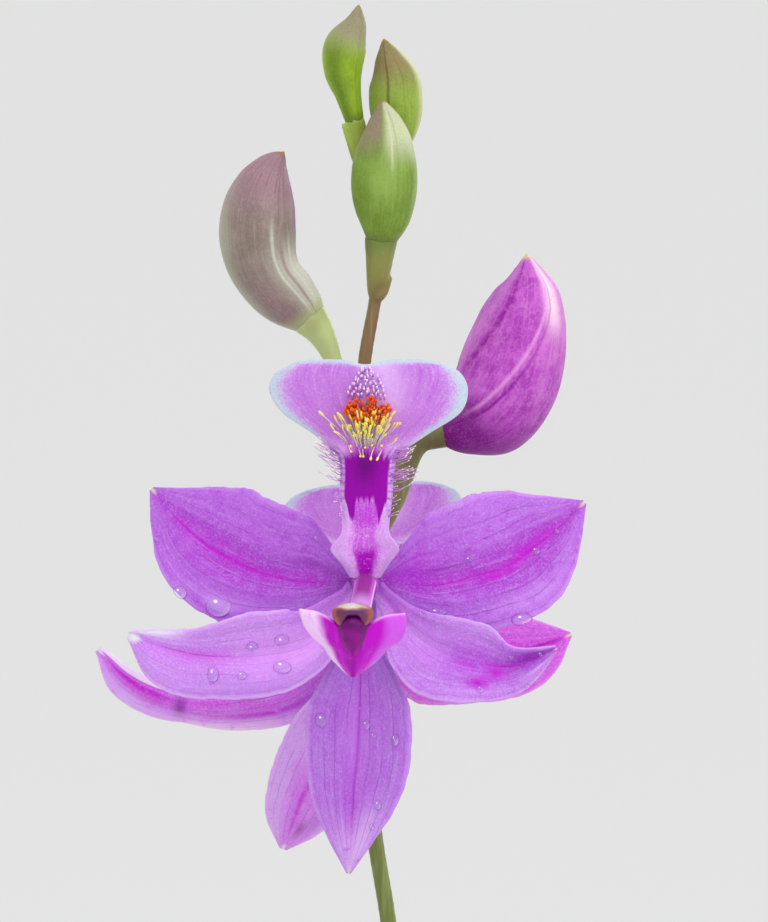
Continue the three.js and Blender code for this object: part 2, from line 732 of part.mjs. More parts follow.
// The lip's middle surface: u is 0 at the foot and 1 at the top, v is -1 at the left edge and 1 at the
// right, and ahead is how far in front of the middle the point lies.
function lipSurface(flower) {
  const place = placer(flower);
  const column = (i) => profile(LIP_STATIONS.map((station) => station[i]));
  const [up, out, left, right] = [column(0), column(1), column(2), column(3)];
  const { size, twist, sway, bend, droop } = LIP_POSE[flower.name];
  return (u, v, ahead = 0) => {
    const reach = size * v * (v < 0 ? left(u) : right(u));
    const blade = THREE.MathUtils.smoothstep(u, 0.55, 0.85);
    const notch = 0.45 * Math.exp(-v * v * 22) + 0.35 * v ** 6;
    const ears = 0.9 * v * v * Math.exp(-(((u - 0.17) / 0.12) ** 2));
    const channel = -0.7 * v * v * Math.exp(-(((u - 0.46) / 0.16) ** 2));
    const crest = 0.5 * Math.exp(-v * v * 12) * Math.exp(-(((u - 0.88) / 0.12) ** 2));
    const top = up(u) - blade * notch * THREE.MathUtils.smoothstep(u, 0.9, 1);
    const rise = size * top - droop * blade * v * v;
    const depth = out(u) + ears + channel + crest - 0.8 * blade * v * v + ahead;
    const past = THREE.MathUtils.clamp((rise - BEND_FROM) / BEND_OVER, 0, 1);
    const beyond = Math.max(0, rise - BEND_FROM - BEND_OVER);
    const bent = (past * past * BEND_OVER) / 2 + beyond;
    const height = rise - bent * (1 - Math.cos(bend)) - depth * Math.sin(bend * past);
    const forward = bent * Math.sin(bend) + depth * Math.cos(bend * past);
    const roll = twist * past;
    return place(reach * Math.cos(roll) + sway * height, forward, height - reach * Math.sin(roll));
  };
}

// A club-headed hair from root to tip: four sides, thin at the root and swollen at the tip.
function clubGeometry(root, tip, thin, thick) {
  return swept(new THREE.LineCurve3(root, tip), [thin, thick], 4, 1);
}

// The crest's papillae, in rows up the middle of the blade.
function crestGeometries(surface, draw) {
  const made = [];
  for (let row = 0; row < 3; row++)
    for (let place = -1; place <= 1; place++) {
      const u = 0.82 + row * 0.046 + draw() * 0.01;
      const v = (place * 0.05 + (draw() - 0.5) * 0.01) * (1 + 0.3 * (2 - row));
      const root = surface(u, v, -0.1);
      const tip = surface(u + 0.012, v * 1.05, 1.15 + 0.3 * draw());
      made.push(clubGeometry(root, tip, 0.16, 0.24));
    }
  return made;
}

// A band of the beard: a thin pad that lies on the blade, with clubs standing out of it. It runs from
// uFrom to uTo up the lip and reaches a share of its width each way. fan spreads the clubs' tips and
// drop lowers them.
function beardGeometry(surface, draw, { uFrom, uTo, reach, rows, perRow, length, fan, drop }) {
  const padDepth = BLADE / 2 + GAP + PAD / 2 + 0.15;
  const padReach = (u) => reach * (0.45 + 0.55 * Math.sin(Math.PI * u));
  const padSurface = (u, v) => surface(THREE.MathUtils.lerp(uFrom, uTo, u), v * padReach(u), padDepth);
  const pad = thinBlade(padSurface, 4, 4, PAD);
  const clubs = [];
  for (let row = 0; row < rows; row++)
    for (let place = 0; place < perRow; place++) {
      const across = ((place + 0.5) / perRow) * 2 - 1 + (draw() - 0.5) * 0.12;
      const share = 0.15 + (0.8 * (row + draw() * 0.3)) / rows;
      const u = THREE.MathUtils.lerp(uFrom, uTo, share);
      const side = across * padReach(share) * 0.82;
      const root = surface(u, side, padDepth);
      const stretch = length * (0.8 + 0.4 * draw());
      const tip = surface(u - drop * (1 - row / rows), side * (1 + fan), padDepth + stretch);
      clubs.push(clubGeometry(root, tip, 0.13, 0.27));
    }
  return joined([pad, ...clubs]);
}

// The column arches forward to its tip, which has a keel in front and a wing on each side.
const COLUMN_SPINE = [
  [0, 1.1, 0],
  [0, 2, -0.1],
  [-0.4, 4.6, -1.9],
  [-0.8, 8, -4],
  [-1, 10.6, -4.9],
  [-1.1, 12.3, -4.6],
  [-1.1, 12.9, -3.4],
];
const COLUMN_RADII = [1.05, 1, 1, 1, 0.9, 0.85, 0.9];
const KEEL_SPINE = [
  [-1.1, 12.4, -5.9],
  [-1.1, 13, -4.5],
  [-1.1, 13.1, -3.1],
];
const KEEL_RADII = [0.15, 0.85, 1.3];
const WING_MIDDLE = [-1.1, 13.3]; // right and out
const WING_LEFT = [0.2, 1.2, 2.05, 2.55, 3.5, 4.15, 4.5, 4.75]; // reach from the bottom to the top
const WING_RIGHT = [0.2, 1.5, 2.4, 3.1, 4.2, 4.6, 4.7, 4.6];
const WING_BOTTOM = -7.25;
const WING_HEIGHT = 5.75;
const WING_TILT = 0.2; // how much higher the left wing's top stands than the middle of the two

function columnGeometry(flower) {
  const place = placer(flower);
  const sweptPath = (spine, radii, sides, steps) => {
    const path = spine.map((point) => place(...point).toArray());
    return swept(curveThrough(path), radii, sides, steps);
  };
  const [left, right] = [profile(WING_LEFT), profile(WING_RIGHT)];
  const wings = thinBlade(
    (u, v) => {
      const sweptBack = 1.6 * Math.abs(v) ** 1.5 + 1.6 * (1 - u) ** 2;
      const dip = 1.6 * u * Math.exp(-v * v * 5);
      return place(
        WING_MIDDLE[0] + v * (v < 0 ? left(u) : right(u)),
        WING_MIDDLE[1] - sweptBack,
        WING_BOTTOM + WING_HEIGHT * u - dip - WING_TILT * u * v,
      );
    },
    7,
    8,
  );
  const arch = sweptPath(COLUMN_SPINE, COLUMN_RADII, 8, 12);
  const keel = sweptPath(KEEL_SPINE, KEEL_RADII, 8, 3);
  return joined([arch, keel, wings]);
}

const CAP_MIDDLE = [-1.1, 13.4, -1.5]; // right, out and up
const CAP_REACH = [1.85, 1.1]; // half-sizes, right and out
const CAP_TOP = 0.85; // from the cap's middle up
const CAP_LOBES = 1.6; // how far a lobe would hang if it weren't rounded off

// A cap on the column's tip, with a lobe that hangs down on each side.
function antherCapGeometry(flower) {
  const place = placer(flower);
  const cap = new THREE.SphereGeometry(1, 14, 10);
  const position = cap.attributes.position;
  for (let i = 0; i < position.count; i++) {
    const [x, y, z] = [position.getX(i), position.getY(i), position.getZ(i)];
    const lobe = 0.25 + 0.75 * THREE.MathUtils.smoothstep(Math.abs(x), 0.2, 0.6);
    const spot = place(
      CAP_MIDDLE[0] + CAP_REACH[0] * x,
      CAP_MIDDLE[1] + CAP_REACH[1] * z,
      CAP_MIDDLE[2] + y * (y > 0 ? CAP_TOP : CAP_LOBES * lobe),
    );
    position.setXYZ(i, spot.x, spot.y, spot.z);
  }
  return flower.facing < 0 ? cap : reversed(cap);
}

// Turns every face of a mesh round.
function reversed(geometry) {
  const turned = closed(geometry);
  const index = turned.index.array;
  for (let i = 0; i < index.length; i += 3) [index[i], index[i + 1]] = [index[i + 1], index[i]];
  return turned;
}

function addFlower(flower, tepals, seed) {
  const draw = drawFrom(seed);
  const named = (piece) => `${flower.name}_${piece}`;
  for (const [piece, shape] of Object.entries(tepals)) add(named(piece), tepal(flower, shape), TEPAL_PINK);
  const surface = lipSurface(flower);
  const lip = thinBlade((u, v) => surface(u, v), 20, 12);
  add(named("lip"), joined([lip, ...crestGeometries(surface, draw)]), LIP_PINK);
  add(named("beard_orange"), beardGeometry(surface, draw, BEARDS.orange), ORANGE);
  add(named("beard_yellow"), beardGeometry(surface, draw, BEARDS.yellow), YELLOW);
  add(named("column"), columnGeometry(flower), COLUMN_MAGENTA);
  add(named("anther_cap"), antherCapGeometry(flower), CAP_BROWN);
}

// The whole plant in its pot

add("pot", potGeometry(), CLAY);
add("potting_mix", soilGeometry(), PEAT);
add("scape", scapeGeometry(), STEM_GREEN);
add("basal_sheath", sheathGeometry(), SHEATH_BROWN);
for (const [name, shape] of Object.entries(LEAVES)) add(`leaf_${name}`, leafGeometry(shape), LEAF_GREEN);
addFlower(FRONT_FLOWER, FRONT_TEPALS, 7);
addFlower(BACK_FLOWER, BACK_TEPALS, 19);
for (const [name, bud] of Object.entries(BUDS)) add(`bud_${name}`, budGeometry(bud), bud.material);

export default part;
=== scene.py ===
# %% [markdown]
# # A grass pink orchid in a clay pot
#
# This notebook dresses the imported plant: every petal, bud, leaf and hair is made again with finer
# meshes, in the place where the solid one stands, and gets a finish made of nodes.
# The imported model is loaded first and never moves. It could also be retouched by hand in the
# editor, but a script that runs from top to bottom gives the same plant each time.

import math
import random

import bmesh
import bpy
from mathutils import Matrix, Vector, noise
from mathutils.bvhtree import BVHTree


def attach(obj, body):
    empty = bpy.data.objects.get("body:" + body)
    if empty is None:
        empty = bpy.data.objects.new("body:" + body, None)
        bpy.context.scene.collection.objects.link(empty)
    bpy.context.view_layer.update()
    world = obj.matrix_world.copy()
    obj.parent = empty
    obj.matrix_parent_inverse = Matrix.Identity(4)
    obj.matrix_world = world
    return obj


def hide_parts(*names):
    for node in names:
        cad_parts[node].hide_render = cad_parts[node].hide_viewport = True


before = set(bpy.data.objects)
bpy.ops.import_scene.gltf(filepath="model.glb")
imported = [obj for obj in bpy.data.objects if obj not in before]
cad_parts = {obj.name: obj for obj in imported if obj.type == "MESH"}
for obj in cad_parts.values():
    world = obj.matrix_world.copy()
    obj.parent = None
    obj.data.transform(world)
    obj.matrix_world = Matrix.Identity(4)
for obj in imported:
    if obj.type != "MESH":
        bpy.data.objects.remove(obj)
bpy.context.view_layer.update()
MM = 0.001

# %% [markdown]
# ## The camera
#
# The picture was taken with a long lens from about a metre away, looking down a little. A long
# lens could be set up close by eye, but here the flower's own measure is used: a pixel of the
# picture covers 0.09 mm where the front flower hangs. The lens follows from that and the distance.

# %% Camera
PICTURE = (768, 922)
PIXEL = 0.09
AIM = Vector((-0.72, -9, 259.05))
DISTANCE = 1000
PITCH = math.radians(3.5)
SENSOR = 36
CLIP = (0.02, 500)

RIGHT = Vector((1, 0, 0))
UPWARD = Vector((0, math.sin(PITCH), math.cos(PITCH)))
EYE = AIM + Vector((0, -math.cos(PITCH), math.sin(PITCH))) * DISTANCE


def ray_through(px, py):
    """The direction from the eye through a pixel of the picture."""
    across = RIGHT * (px - PICTURE[0] / 2) * PIXEL
    return (AIM + across + UPWARD * (PICTURE[1] / 2 - py) * PIXEL - EYE).normalized()


camera = bpy.data.objects.new("camera", bpy.data.cameras.new("camera"))
bpy.context.scene.collection.objects.link(camera)
camera.location = EYE * MM
camera.rotation_euler = (math.pi / 2 - PITCH, 0, 0)
camera.data.sensor_width = SENSOR
camera.data.lens = SENSOR * DISTANCE / (PIXEL * PICTURE[1])
camera.data.clip_start, camera.data.clip_end = CLIP
bpy.context.scene.camera = camera
print("lens", round(camera.data.lens), "mm")

# %% [markdown]
# ## Shader maths
#
# A finish is a small network of nodes. Adding each node by hand is slow to read, so one class
# wraps a socket and lets plain Python sums add the Math nodes. Colours are mixed with Mix nodes,
# because a Math node turns a colour grey.


# %% A socket that can be added and multiplied
class Flow:
    """One output socket. Sums on it add Math nodes to its finish."""

    def __init__(self, finish, socket):
        self.finish = finish
        self.socket = socket

    def __add__(self, other):
        return self.finish.sum("ADD", self, other)

    def __radd__(self, other):
        return self.finish.sum("ADD", other, self)

    def __sub__(self, other):
        return self.finish.sum("SUBTRACT", self, other)

    def __rsub__(self, other):
        return self.finish.sum("SUBTRACT", other, self)

    def __mul__(self, other):
        return self.finish.sum("MULTIPLY", self, other)

    def __rmul__(self, other):
        return self.finish.sum("MULTIPLY", other, self)

    def __truediv__(self, other):
        return self.finish.sum("DIVIDE", self, other)

    def __pow__(self, other):
        return self.finish.sum("POWER", self, other)

    def __abs__(self):
        return self.finish.sum("ABSOLUTE", self)


# %% [markdown]
# A finish starts from the Principled shader. What is the same all over a surface, such as how
# much light passes through a petal, is set on the shader's own socket. Only the colour and the
# bump change from place to place, and for water how much shows through.


# %% A finish and the nodes it is made with
class Finish:
    """A material and the few calls that its nodes are made with."""

    def __init__(self, name, even):
        self.material = bpy.data.materials.new(name)
        self.material.use_nodes = True
        self.tree = self.material.node_tree
        self.shader = self.tree.nodes["Principled BSDF"]
        for socket, value in even.items():
            self.shader.inputs[socket].default_value = value

    def node(self, kind, settings, inputs, output=0):
        """A node of a kind, with its settings, then the values or links of its sockets."""
        made = self.tree.nodes.new("ShaderNode" + kind)
        for key, value in settings.items():
            setattr(made, key, value)
        for key, value in inputs.items():
            self.feed(made.inputs[key], value)
        return Flow(self, made.outputs[output])

    def feed(self, socket, value):
        if isinstance(value, Flow):
            self.tree.links.new(value.socket, socket)
        else:
            socket.default_value = value

    def sum(self, operation, *values):
        return self.node("Math", {"operation": operation}, dict(enumerate(values)))

    def run(self):
        """The share along a piece, 0 to 1, and across it, -1 to 1, from its own UV map."""
        flat = self.node("UVMap", {"uv_map": "run"}, {})
        along = self.node("SeparateXYZ", {}, {0: flat}, 0)
        across = self.node("SeparateXYZ", {}, {0: flat}, 1)
        return along, across * 2 - 1

    def here(self):
        return self.node("TexCoord", {}, {}, "Object")

    def axis(self, number):
        return self.node("SeparateXYZ", {}, {0: self.here()}, number)

    def vector(self, x, y, z=0.0):
        return self.node("CombineXYZ", {}, {0: x, 1: y, 2: z})

    def noise(self, vector, scale, detail=2.0, rough=0.5):
        inputs = {"Vector": vector, "Scale": scale, "Detail": detail, "Roughness": rough}
        return self.node("TexNoise", {}, inputs)

    def cells(self, vector, scale):
        return self.node("TexVoronoi", {}, {"Vector": vector, "Scale": scale})

    def smooth(self, value, low, high):
        """0 below low, 1 above high, and a soft step between."""
        settings = {"interpolation_type": "SMOOTHSTEP"}
        return self.node("MapRange", settings, {"Value": value, "From Min": low, "From Max": high})

    def fade(self, value, low, high):
        """1 below low, 0 above high, and a soft step between."""
        return 1 - self.smooth(value, low, high)

    def hill(self, value, middle, width):
        """1 at middle, and 0 at width from it and beyond."""
        return self.fade(abs(value - middle), 0, width)

    def nearest(self, value):
        """How far value is from the nearest whole number, 0 to 0.5."""
        return self.sum("PINGPONG", value, 0.5)

    def mix(self, a, b, share):
        """Colour a, with a share of b over it."""
        return self.node("Mix", {"data_type": "RGBA"}, {0: share, 6: a, 7: b}, 2)

    def layers(self, base, *coats):
        """base, with each (colour, share) laid over it in turn."""
        for colour, share in coats:
            base = self.mix(base, colour, share)
        return base

    def done(self, colour, height=None, depth=0.05):
        """Feeds the shader. depth is the bump's height in mm."""
        self.feed(self.shader.inputs["Base Color"], colour)
        if height is not None:
            inputs = {"Height": height, "Distance": depth * MM, "Strength": 1.0}
            self.feed(self.shader.inputs["Normal"], self.node("Bump", {}, inputs))
        return self.material


def hue(*screen):
    """Red, green and blue from 0 to 255, as on a screen, turned into the light a shader takes."""
    light = [((c / 255 + 0.055) / 1.055) ** 2.4 if c > 10 else c / 3295 for c in screen]
    return (*light, 1)


# %% [markdown]
# ## Curves
#
# Petals, buds and stems are all drawn from short lists of measured points. A smooth curve goes
# through them. Blender's own curve objects could do this, but the solid plant was drawn with a
# centripetal curve read by its length, and the finer pieces have to lie exactly on it.


# %% A smooth curve through points
def span(points, share):
    """The four points round the place at share of the list, and how far between the middle two."""
    last = len(points) - 1
    i = max(0, min(int(share * last), last - 1))
    second, third = points[i], points[i + 1]
    first = points[i - 1] if i else 2 * second - third
    fourth = points[i + 2] if i + 2 <= last else 2 * third - second
    return first, second, third, fourth, share * last - i


def eased(first, second, third, fourth, t, gaps=(1, 1, 1)):
    """The curve from second to third, a share t along."""
    before, amid, after = gaps
    slopes = ((second - first) / before, (third - second) / amid, (fourth - third) / after)
    leave = slopes[0] - (third - first) / (before + amid) + slopes[1]
    arrive = slopes[1] - (fourth - second) / (amid + after) + slopes[2]
    leave, arrive = leave * amid, arrive * amid
    bend = -3 * second + 3 * third - 2 * leave - arrive
    twist = 2 * second - 2 * third + leave + arrive
    return second + leave * t + bend * (t * t) + twist * (t * t * t)


def profile(values):
    """A smooth value through a short list spread evenly from 0 to 1."""
    values = [float(value) for value in values]
    return lambda share: eased(*span(values, max(0.0, min(1.0, share))))


# %% [markdown]
# Along a bent petal or stem, equal steps have to cover equal lengths, or the mesh would bunch up.
# So a path measures itself once and is then read by the share of its length.


# %% A curve that knows its length
class Path:
    """A curve through points in mm, read by the share of its length."""

    STEPS = 200
    NEAR = 1e-4

    def __init__(self, points):
        self.points = [Vector(point) for point in points]
        self.known = {}
        dots = [self.spot(i / self.STEPS) for i in range(self.STEPS + 1)]
        self.marks = [0.0]
        for a, b in zip(dots, dots[1:]):
            self.marks.append(self.marks[-1] + (b - a).length)
        self.length = self.marks[-1]

    def spot(self, t):
        first, second, third, fourth, part = span(self.points, t)
        corners = (first, second, third, fourth)
        gaps = [max((b - a).length, 1e-6) ** 0.5 for a, b in zip(corners, corners[1:])]
        return eased(*corners, part, gaps)

    def turn(self, share):
        """The curve's own measure at a share of its length."""
        wanted = share * self.length
        i = next((k for k, mark in enumerate(self.marks) if mark > wanted), self.STEPS) - 1
        i = max(0, min(i, self.STEPS - 1))
        return (i + (wanted - self.marks[i]) / (self.marks[i + 1] - self.marks[i])) / self.STEPS

    def at(self, share):
        """The point and the direction of travel at a share of the length, also past its ends."""
        if share not in self.known:
            inside = max(0.0, min(1.0, share))
            t = self.turn(inside)
            near, far = max(t - self.NEAR, 0), min(t + self.NEAR, 1)
            ahead = (self.spot(far) - self.spot(near)).normalized()
            self.known[share] = (self.spot(t) + ahead * (share - inside) * self.length, ahead)
        return self.known[share]


# %% [markdown]
# A tube needs a cross direction at every step. Each one is carried over from the step before it
# and turned only as far as the path turns, so the tube never twists by itself.


# %% Cross directions along a curve
def rings(path, steps):
    """(point, normal, binormal) at even steps along a path, turning as little as they can."""
    made = []
    for i in range(steps + 1):
        point, ahead = path.at(i / steps)
        if i == 0:
            sizes = [abs(c) for c in ahead]
            least = max(k for k in range(3) if sizes[k] == min(sizes))
            axis = Vector([float(k == least) for k in range(3)])
            normal = ahead.cross(ahead.cross(axis).normalized())
        else:
            normal = before.rotation_difference(ahead) @ normal
        made.append((point, normal.copy(), ahead.cross(normal)))
        before = ahead
    return made


def ramp(value, low, high):
    """0 below low, 1 above high, and a soft step between."""
    t = max(0.0, min(1.0, (value - low) / (high - low)))
    return t * t * (3 - 2 * t)


def between(a, b, share):
    return a + (b - a) * share


# %% [markdown]
# ## From a flat grid to a petal or a tube
#
# Nearly everything on this plant is either a thin blade or a round body. Both start as the same
# flat grid, whose own share along and across is kept as a UV map named run, so that a vein can
# follow the petal.

# %% A grid, a piece and its dress
MERGE = 1e-7


def grid(bm, along, across):
    """A flat grid in bm, with its run map. Returns its corners."""
    run = bm.loops.layers.uv.get("run") or bm.loops.layers.uv.new("run")
    corners = bmesh.ops.create_grid(bm, x_segments=across, y_segments=along, size=1)["verts"]
    for face in {face for corner in corners for face in corner.link_faces}:
        face.smooth = True
        for loop in face.loops:
            loop[run].uv = ((loop.vert.co.y + 1) / 2, (loop.vert.co.x + 1) / 2)
    return corners


def piece_from(bm, name, closed=True):
    """An object made of bm, with doubles merged and faces pointing out."""
    if closed:
        bmesh.ops.remove_doubles(bm, verts=bm.verts, dist=MERGE)
    bmesh.ops.recalc_face_normals(bm, faces=bm.faces)
    mesh = bpy.data.meshes.new(name)
    bm.to_mesh(mesh)
    bm.free()
    piece = bpy.data.objects.new(name, mesh)
    bpy.context.scene.collection.objects.link(piece)
    return piece


def dress(piece, material, slot, *nodes):
    """Gives a piece its finish, lets it ride on the plant and stand for its nodes."""
    piece.data.materials.clear()
    piece.data.materials.append(material)
    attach(piece, "root")
    if nodes:
        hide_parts(*nodes)
    print(piece.name, len(piece.data.polygons), "faces")
    return piece


# %% [markdown]
# For a blade, each corner of the grid moves to its place on a surface without thickness, and a
# Solidify modifier adds the thickness, less of it along the margin. Two skins sewn together at the
# rim would look the same, but the modifier keeps the wall even where the blade bends.

# %% A thin blade
MARGIN_WIDTH = 0.22


def blade(name, surface, along, across, thickness=0.55, margin=0.4):
    """A thin blade. surface(u, v) is its middle in mm, margin the share of its thickness there."""
    bm = bmesh.new()
    weight = bm.verts.layers.deform.verify()
    corners = grid(bm, along, across)
    for corner in corners:
        u, v = (corner.co.y + 1) / 2, corner.co.x
        inside = min(1 - abs(v), 4 * (1 - u)) / MARGIN_WIDTH
        corner[weight][0] = ramp(inside, -0.1, 1)
        corner.co = surface(u, v) * MM
    piece = piece_from(bm, name, closed=False)
    piece.vertex_groups.new(name="fullness")
    wall = piece.modifiers.new("wall", "SOLIDIFY")
    wall.thickness = thickness * MM
    wall.offset = 0
    wall.vertex_group = "fullness"
    wall.thickness_vertex_group = margin
    return piece


# %% [markdown]
# For a round body the grid is rolled up, and merging the doubles closes the seam and both ends.


# %% A round body
def add_tube(bm, place, along, sides):
    """A closed round body in bm. place(u, angle) gives each corner in mm."""
    for corner in grid(bm, along, sides):
        corner.co = place((corner.co.y + 1) / 2, corner.co.x * math.pi) * MM


def add_stalk(bm, path, radius, along, sides, shape=lambda angle, u: 1):
    """A round body along a path in bm. radius(u) is in mm."""
    hoops = rings(path, along)

    def place(u, angle):
        point, normal, binormal = hoops[round(u * along)]
        reach = radius(u) * shape(angle, u)
        return point + normal * reach * math.cos(angle) - binormal * reach * math.sin(angle)

    add_tube(bm, place, along, sides)


# %% [markdown]
# ## Where the two flowers are
#
# The flowers face opposite ways on the scape. A petal's points are given as right, out and up from
# the middle of its flower, and a small function turns them into places on the plant.

# %% The flowers' places
FLOWERS = {
    "front": {"middle": Vector((-2.4, -9, 247.9)), "facing": -1},
    "back": {"middle": Vector((-2.7, 9, 241.8)), "facing": 1},
}


def placer(flower):
    middle, facing = FLOWERS[flower]["middle"], FLOWERS[flower]["facing"]
    return lambda right, out, up: middle + Vector((right, out * facing, up))


# %% [markdown]
# ## Sepals and petals
#
# A sepal is a soft blade with a groove along its midrib, a slight cup towards the margins and
# fine pleats where the veins run. Each one is measured by its midrib and by how wide it is on
# either side. One formula with these numbers makes all ten. Modelling each by pulling corners
# would take hours and none of them would match the solid plant.

# %% The measures of the ten blades
TEPALS = {
    ("front", "left_sepal"): {
        "spine": [(-1.75, -0.9, 0.2), (-5.7, -0.9, 0.2), (-9.5, -1, 1), (-14.2, -1.5, 3.3),
                  (-17.1, -2, 5.9), (-19.3, -2.2, 8.5)],
        "over": [1.4, 5.4, 6.2, 6.5, 6.5, 6.5, 5.5, 3.2, 0.25],
        "under": [1, 2.4, 3.8, 4.9, 5.4, 5.1, 4.1, 2.2, 0.2],
    },
    ("front", "right_sepal"): {
        "spine": [(1.75, -0.9, 0.2), (5.5, -0.9, -0.2), (8.5, -1, 0.3), (12.7, -1.4, 1.5),
                  (16.4, -1.8, 4.1), (19.8, -2, 7.3)],
        "over": [1.4, 5.7, 6.5, 7, 7.3, 7.1, 5.9, 3.4, 0.25],
        "under": [1, 2.7, 4.3, 5, 5, 5.1, 4.1, 2.2, 0.2],
    },
    ("front", "dorsal_sepal"): {
        "spine": [(0, -0.9, -1.75), (-0.3, -0.9, -5.8), (-0.5, -0.3, -12.2), (-1, 0.4, -18.4),
                  (-1.5, 1.2, -26)],
        "over": [1, 1.5, 3.1, 4.6, 4.8, 4.4, 3.6, 2.1, 0.2],
        "under": [1, 1.4, 3, 4.4, 4.8, 4.7, 3.8, 2.1, 0.2],
        "cup": 0.6,
    },
    ("front", "left_petal"): {
        "spine": [(-1.5, 0.35, -0.9), (-5, 0.9, -5.2), (-9.4, 1.4, -6.3), (-14, 1.5, -6.3),
                  (-17.6, 1.7, -5.6), (-21.3, 2.2, -4.3)],
        "over": [0.8, 2.2, 3.6, 3.9, 4, 3.2, 2.2, 1.4, 0.3],
        "under": [0.8, 1.4, 2.5, 3.5, 3.7, 3.8, 4, 3.1, 0.35],
        "cup": 0.8, "keel": 0.3, "wave": 0.12,
    },
    ("front", "right_petal"): {
        "spine": [(1.5, 0.35, -0.9), (5, 0.9, -4.9), (9, 1.4, -6.7), (13, 1.6, -7.3),
                  (17.2, 2.2, -5.6)],
        "over": [0.8, 1.5, 2.6, 3.3, 3.6, 3.5, 2.2, 1.1, 0.25],
        "under": [0.8, 1.6, 3.3, 4.3, 4, 3.4, 2.6, 1.5, 0.25],
        "cup": 0.8, "keel": 0.3, "wave": 0.12,
    },
    ("back", "left_sepal"): {
        "spine": [(-1.75, -0.9, 0.4), (-6, -1.1, 2.6), (-10, -1.4, 5.2), (-13.6, -1.2, 8.4),
                  (-16.4, -0.8, 12)],
        "over": [1, 2.7, 4.2, 4.9, 5, 4.6, 3.7, 2.1, 0.25],
        "under": [1, 2.7, 4.2, 4.9, 5, 4.6, 3.7, 2.1, 0.2],
    },
    ("back", "right_sepal"): {
        "spine": [(1.75, -0.9, 0), (6.5, -1.1, -1.3), (11, -1.4, -2), (15.3, -1.7, -1.3),
                  (19.1, -2.2, 0.4)],
        "over": [1, 2.6, 4, 4.5, 4.6, 4.7, 4.1, 2.5, 0.25],
        "under": [1, 3.6, 4.9, 4.6, 4, 3.8, 3.4, 2.2, 0.2],
        "keel": 0.4,
    },
    ("back", "dorsal_sepal"): {
        "spine": [(-0.1, -0.9, -1.75), (-1.5, -1.1, -6), (-3.8, -1.2, -11.2), (-5.8, -0.4, -15.6),
                  (-7.3, 1, -19.6)],
        "over": [1, 1.7, 2.9, 3.7, 3.9, 3.8, 3.35, 2.5, 0.35],
        "under": [1, 1.6, 2.4, 3.3, 3.8, 4, 3.6, 2.5, 0.35],
        "cup": 0.8, "keel": 0.4,
    },
    ("back", "left_petal"): {
        "spine": [(-1.5, 0.35, -0.7), (-6.5, 0.9, -4.9), (-12.4, 1.4, -6.2), (-17.6, 1.6, -5.9),
                  (-21.2, 1.8, -4.2), (-24.3, 2, -1.3)],
        "over": [0.8, 1.6, 2.2, 2.6, 2.4, 1.8, 1.2, 0.9, 0.3],
        "under": [0.8, 2.1, 2.9, 2.8, 2.5, 1.9, 2.1, 1.9, 0.3],
        "cup": 0.9, "keel": 0.3, "wave": 0.14,
    },
    ("back", "right_petal"): {
        "spine": [(1.5, 0.35, -0.8), (4.8, 0.9, -3.3), (8.4, 1.6, -3.1), (12.2, 2.6, -1.9),
                  (15.6, 4, 0)],
        "over": [0.8, 1.5, 2.4, 2.9, 3, 2.7, 2, 1.2, 0.25],
        "under": [0.8, 1.5, 2.4, 2.9, 3, 2.7, 2, 1.2, 0.25],
        "cup": 0.8, "keel": 0.3, "wave": 0.12,
    },
}

# %% [markdown]
# The visible root reaches a little further in than the solid one, so that it grows out of the
# ovary. The pleats are a few hundredths of a millimetre deep, the ripple of a petal's margin is
# about a tenth, and a slow noise keeps the blade from looking drawn with a ruler.

# %% The formula of a blade
ROOT_REACH = 0.9
RIPPLE_RATE = 19
PLEATS = 5
PLEAT_DEPTH = 0.025
SWELL_DEPTH, SWELL_RATE = 0.06, 0.35


def tepal_surface(flower, spine, over, under, cup=0.5, keel=0.35, wave=0):
    """surface(u, v) of a sepal or petal: u from its root to its tip, v across it. In mm, cup is how
    far the margins come forward, keel how deep the groove is and wave how high the ripple."""
    place = placer(flower)
    path = Path(spine)
    wide, narrow = profile(over), profile(under)
    mirrored = 1 if spine[-1][0] > spine[0][0] else -1
    tuck = ROOT_REACH / path.length

    def surface(u, v):
        along = between(-tuck, 1, u)
        middle, ahead = path.at(along)
        side = Vector((-ahead.z, 0, ahead.x)).normalized() * mirrored
        width = v * (wide if v > 0 else narrow)(along)
        width *= 1 + 0.006 * math.sin(61 * u + 3 * v) + 0.004 * math.sin(113 * u)
        groove = keel * (1 - min(1, abs(v) * 3)) * math.sin(math.pi * max(0, along))
        ripple = wave * v * v * math.sin(RIPPLE_RATE * along + 2 * v)
        spread = cup * v * v * math.sin(math.pi * min(1, max(0, along) * 1.1 + 0.02))
        pleat = PLEAT_DEPTH * math.cos(v * math.pi * PLEATS) * math.sin(math.pi * u)
        x, z = middle.x + side.x * width, middle.z + side.z * width
        swell = noise.noise(Vector((x * SWELL_RATE, z * SWELL_RATE, mirrored * 7))) * SWELL_DEPTH
        return place(x, middle.y + spread - groove + ripple + pleat + swell, z)

    return surface


# %% [markdown]
# ## The finish of a sepal
#
# Seen close up the skin is made of tiny domed cells that catch the light one by one, with darker
# veins running from root to tip and a band of strong magenta along the midrib. The tip is drawn
# out into a small yellow-green point. Light passes through the blade, so the shader lets some of
# it scatter inside. A photograph could be wrapped on instead, but nodes stay sharp at any size.

# %% Petal finish
SOFT = {"Subsurface Weight": 0.3, "Subsurface Radius": (1, 0.4, 1), "Subsurface Scale": 0.0007,
        "Roughness": 0.45, "Specular IOR Level": 0.2}

SKIN_CELLS = 5000

PETAL_COLOURS = {
    "deep": hue(170, 60, 200),
    "light": hue(178, 100, 212),
    "edge": hue(204, 160, 232),
    "tip": hue(222, 214, 176),
    "vein": hue(132, 34, 168),
    "stripe": hue(190, 14, 200),
    "root": hue(172, 70, 204),
}


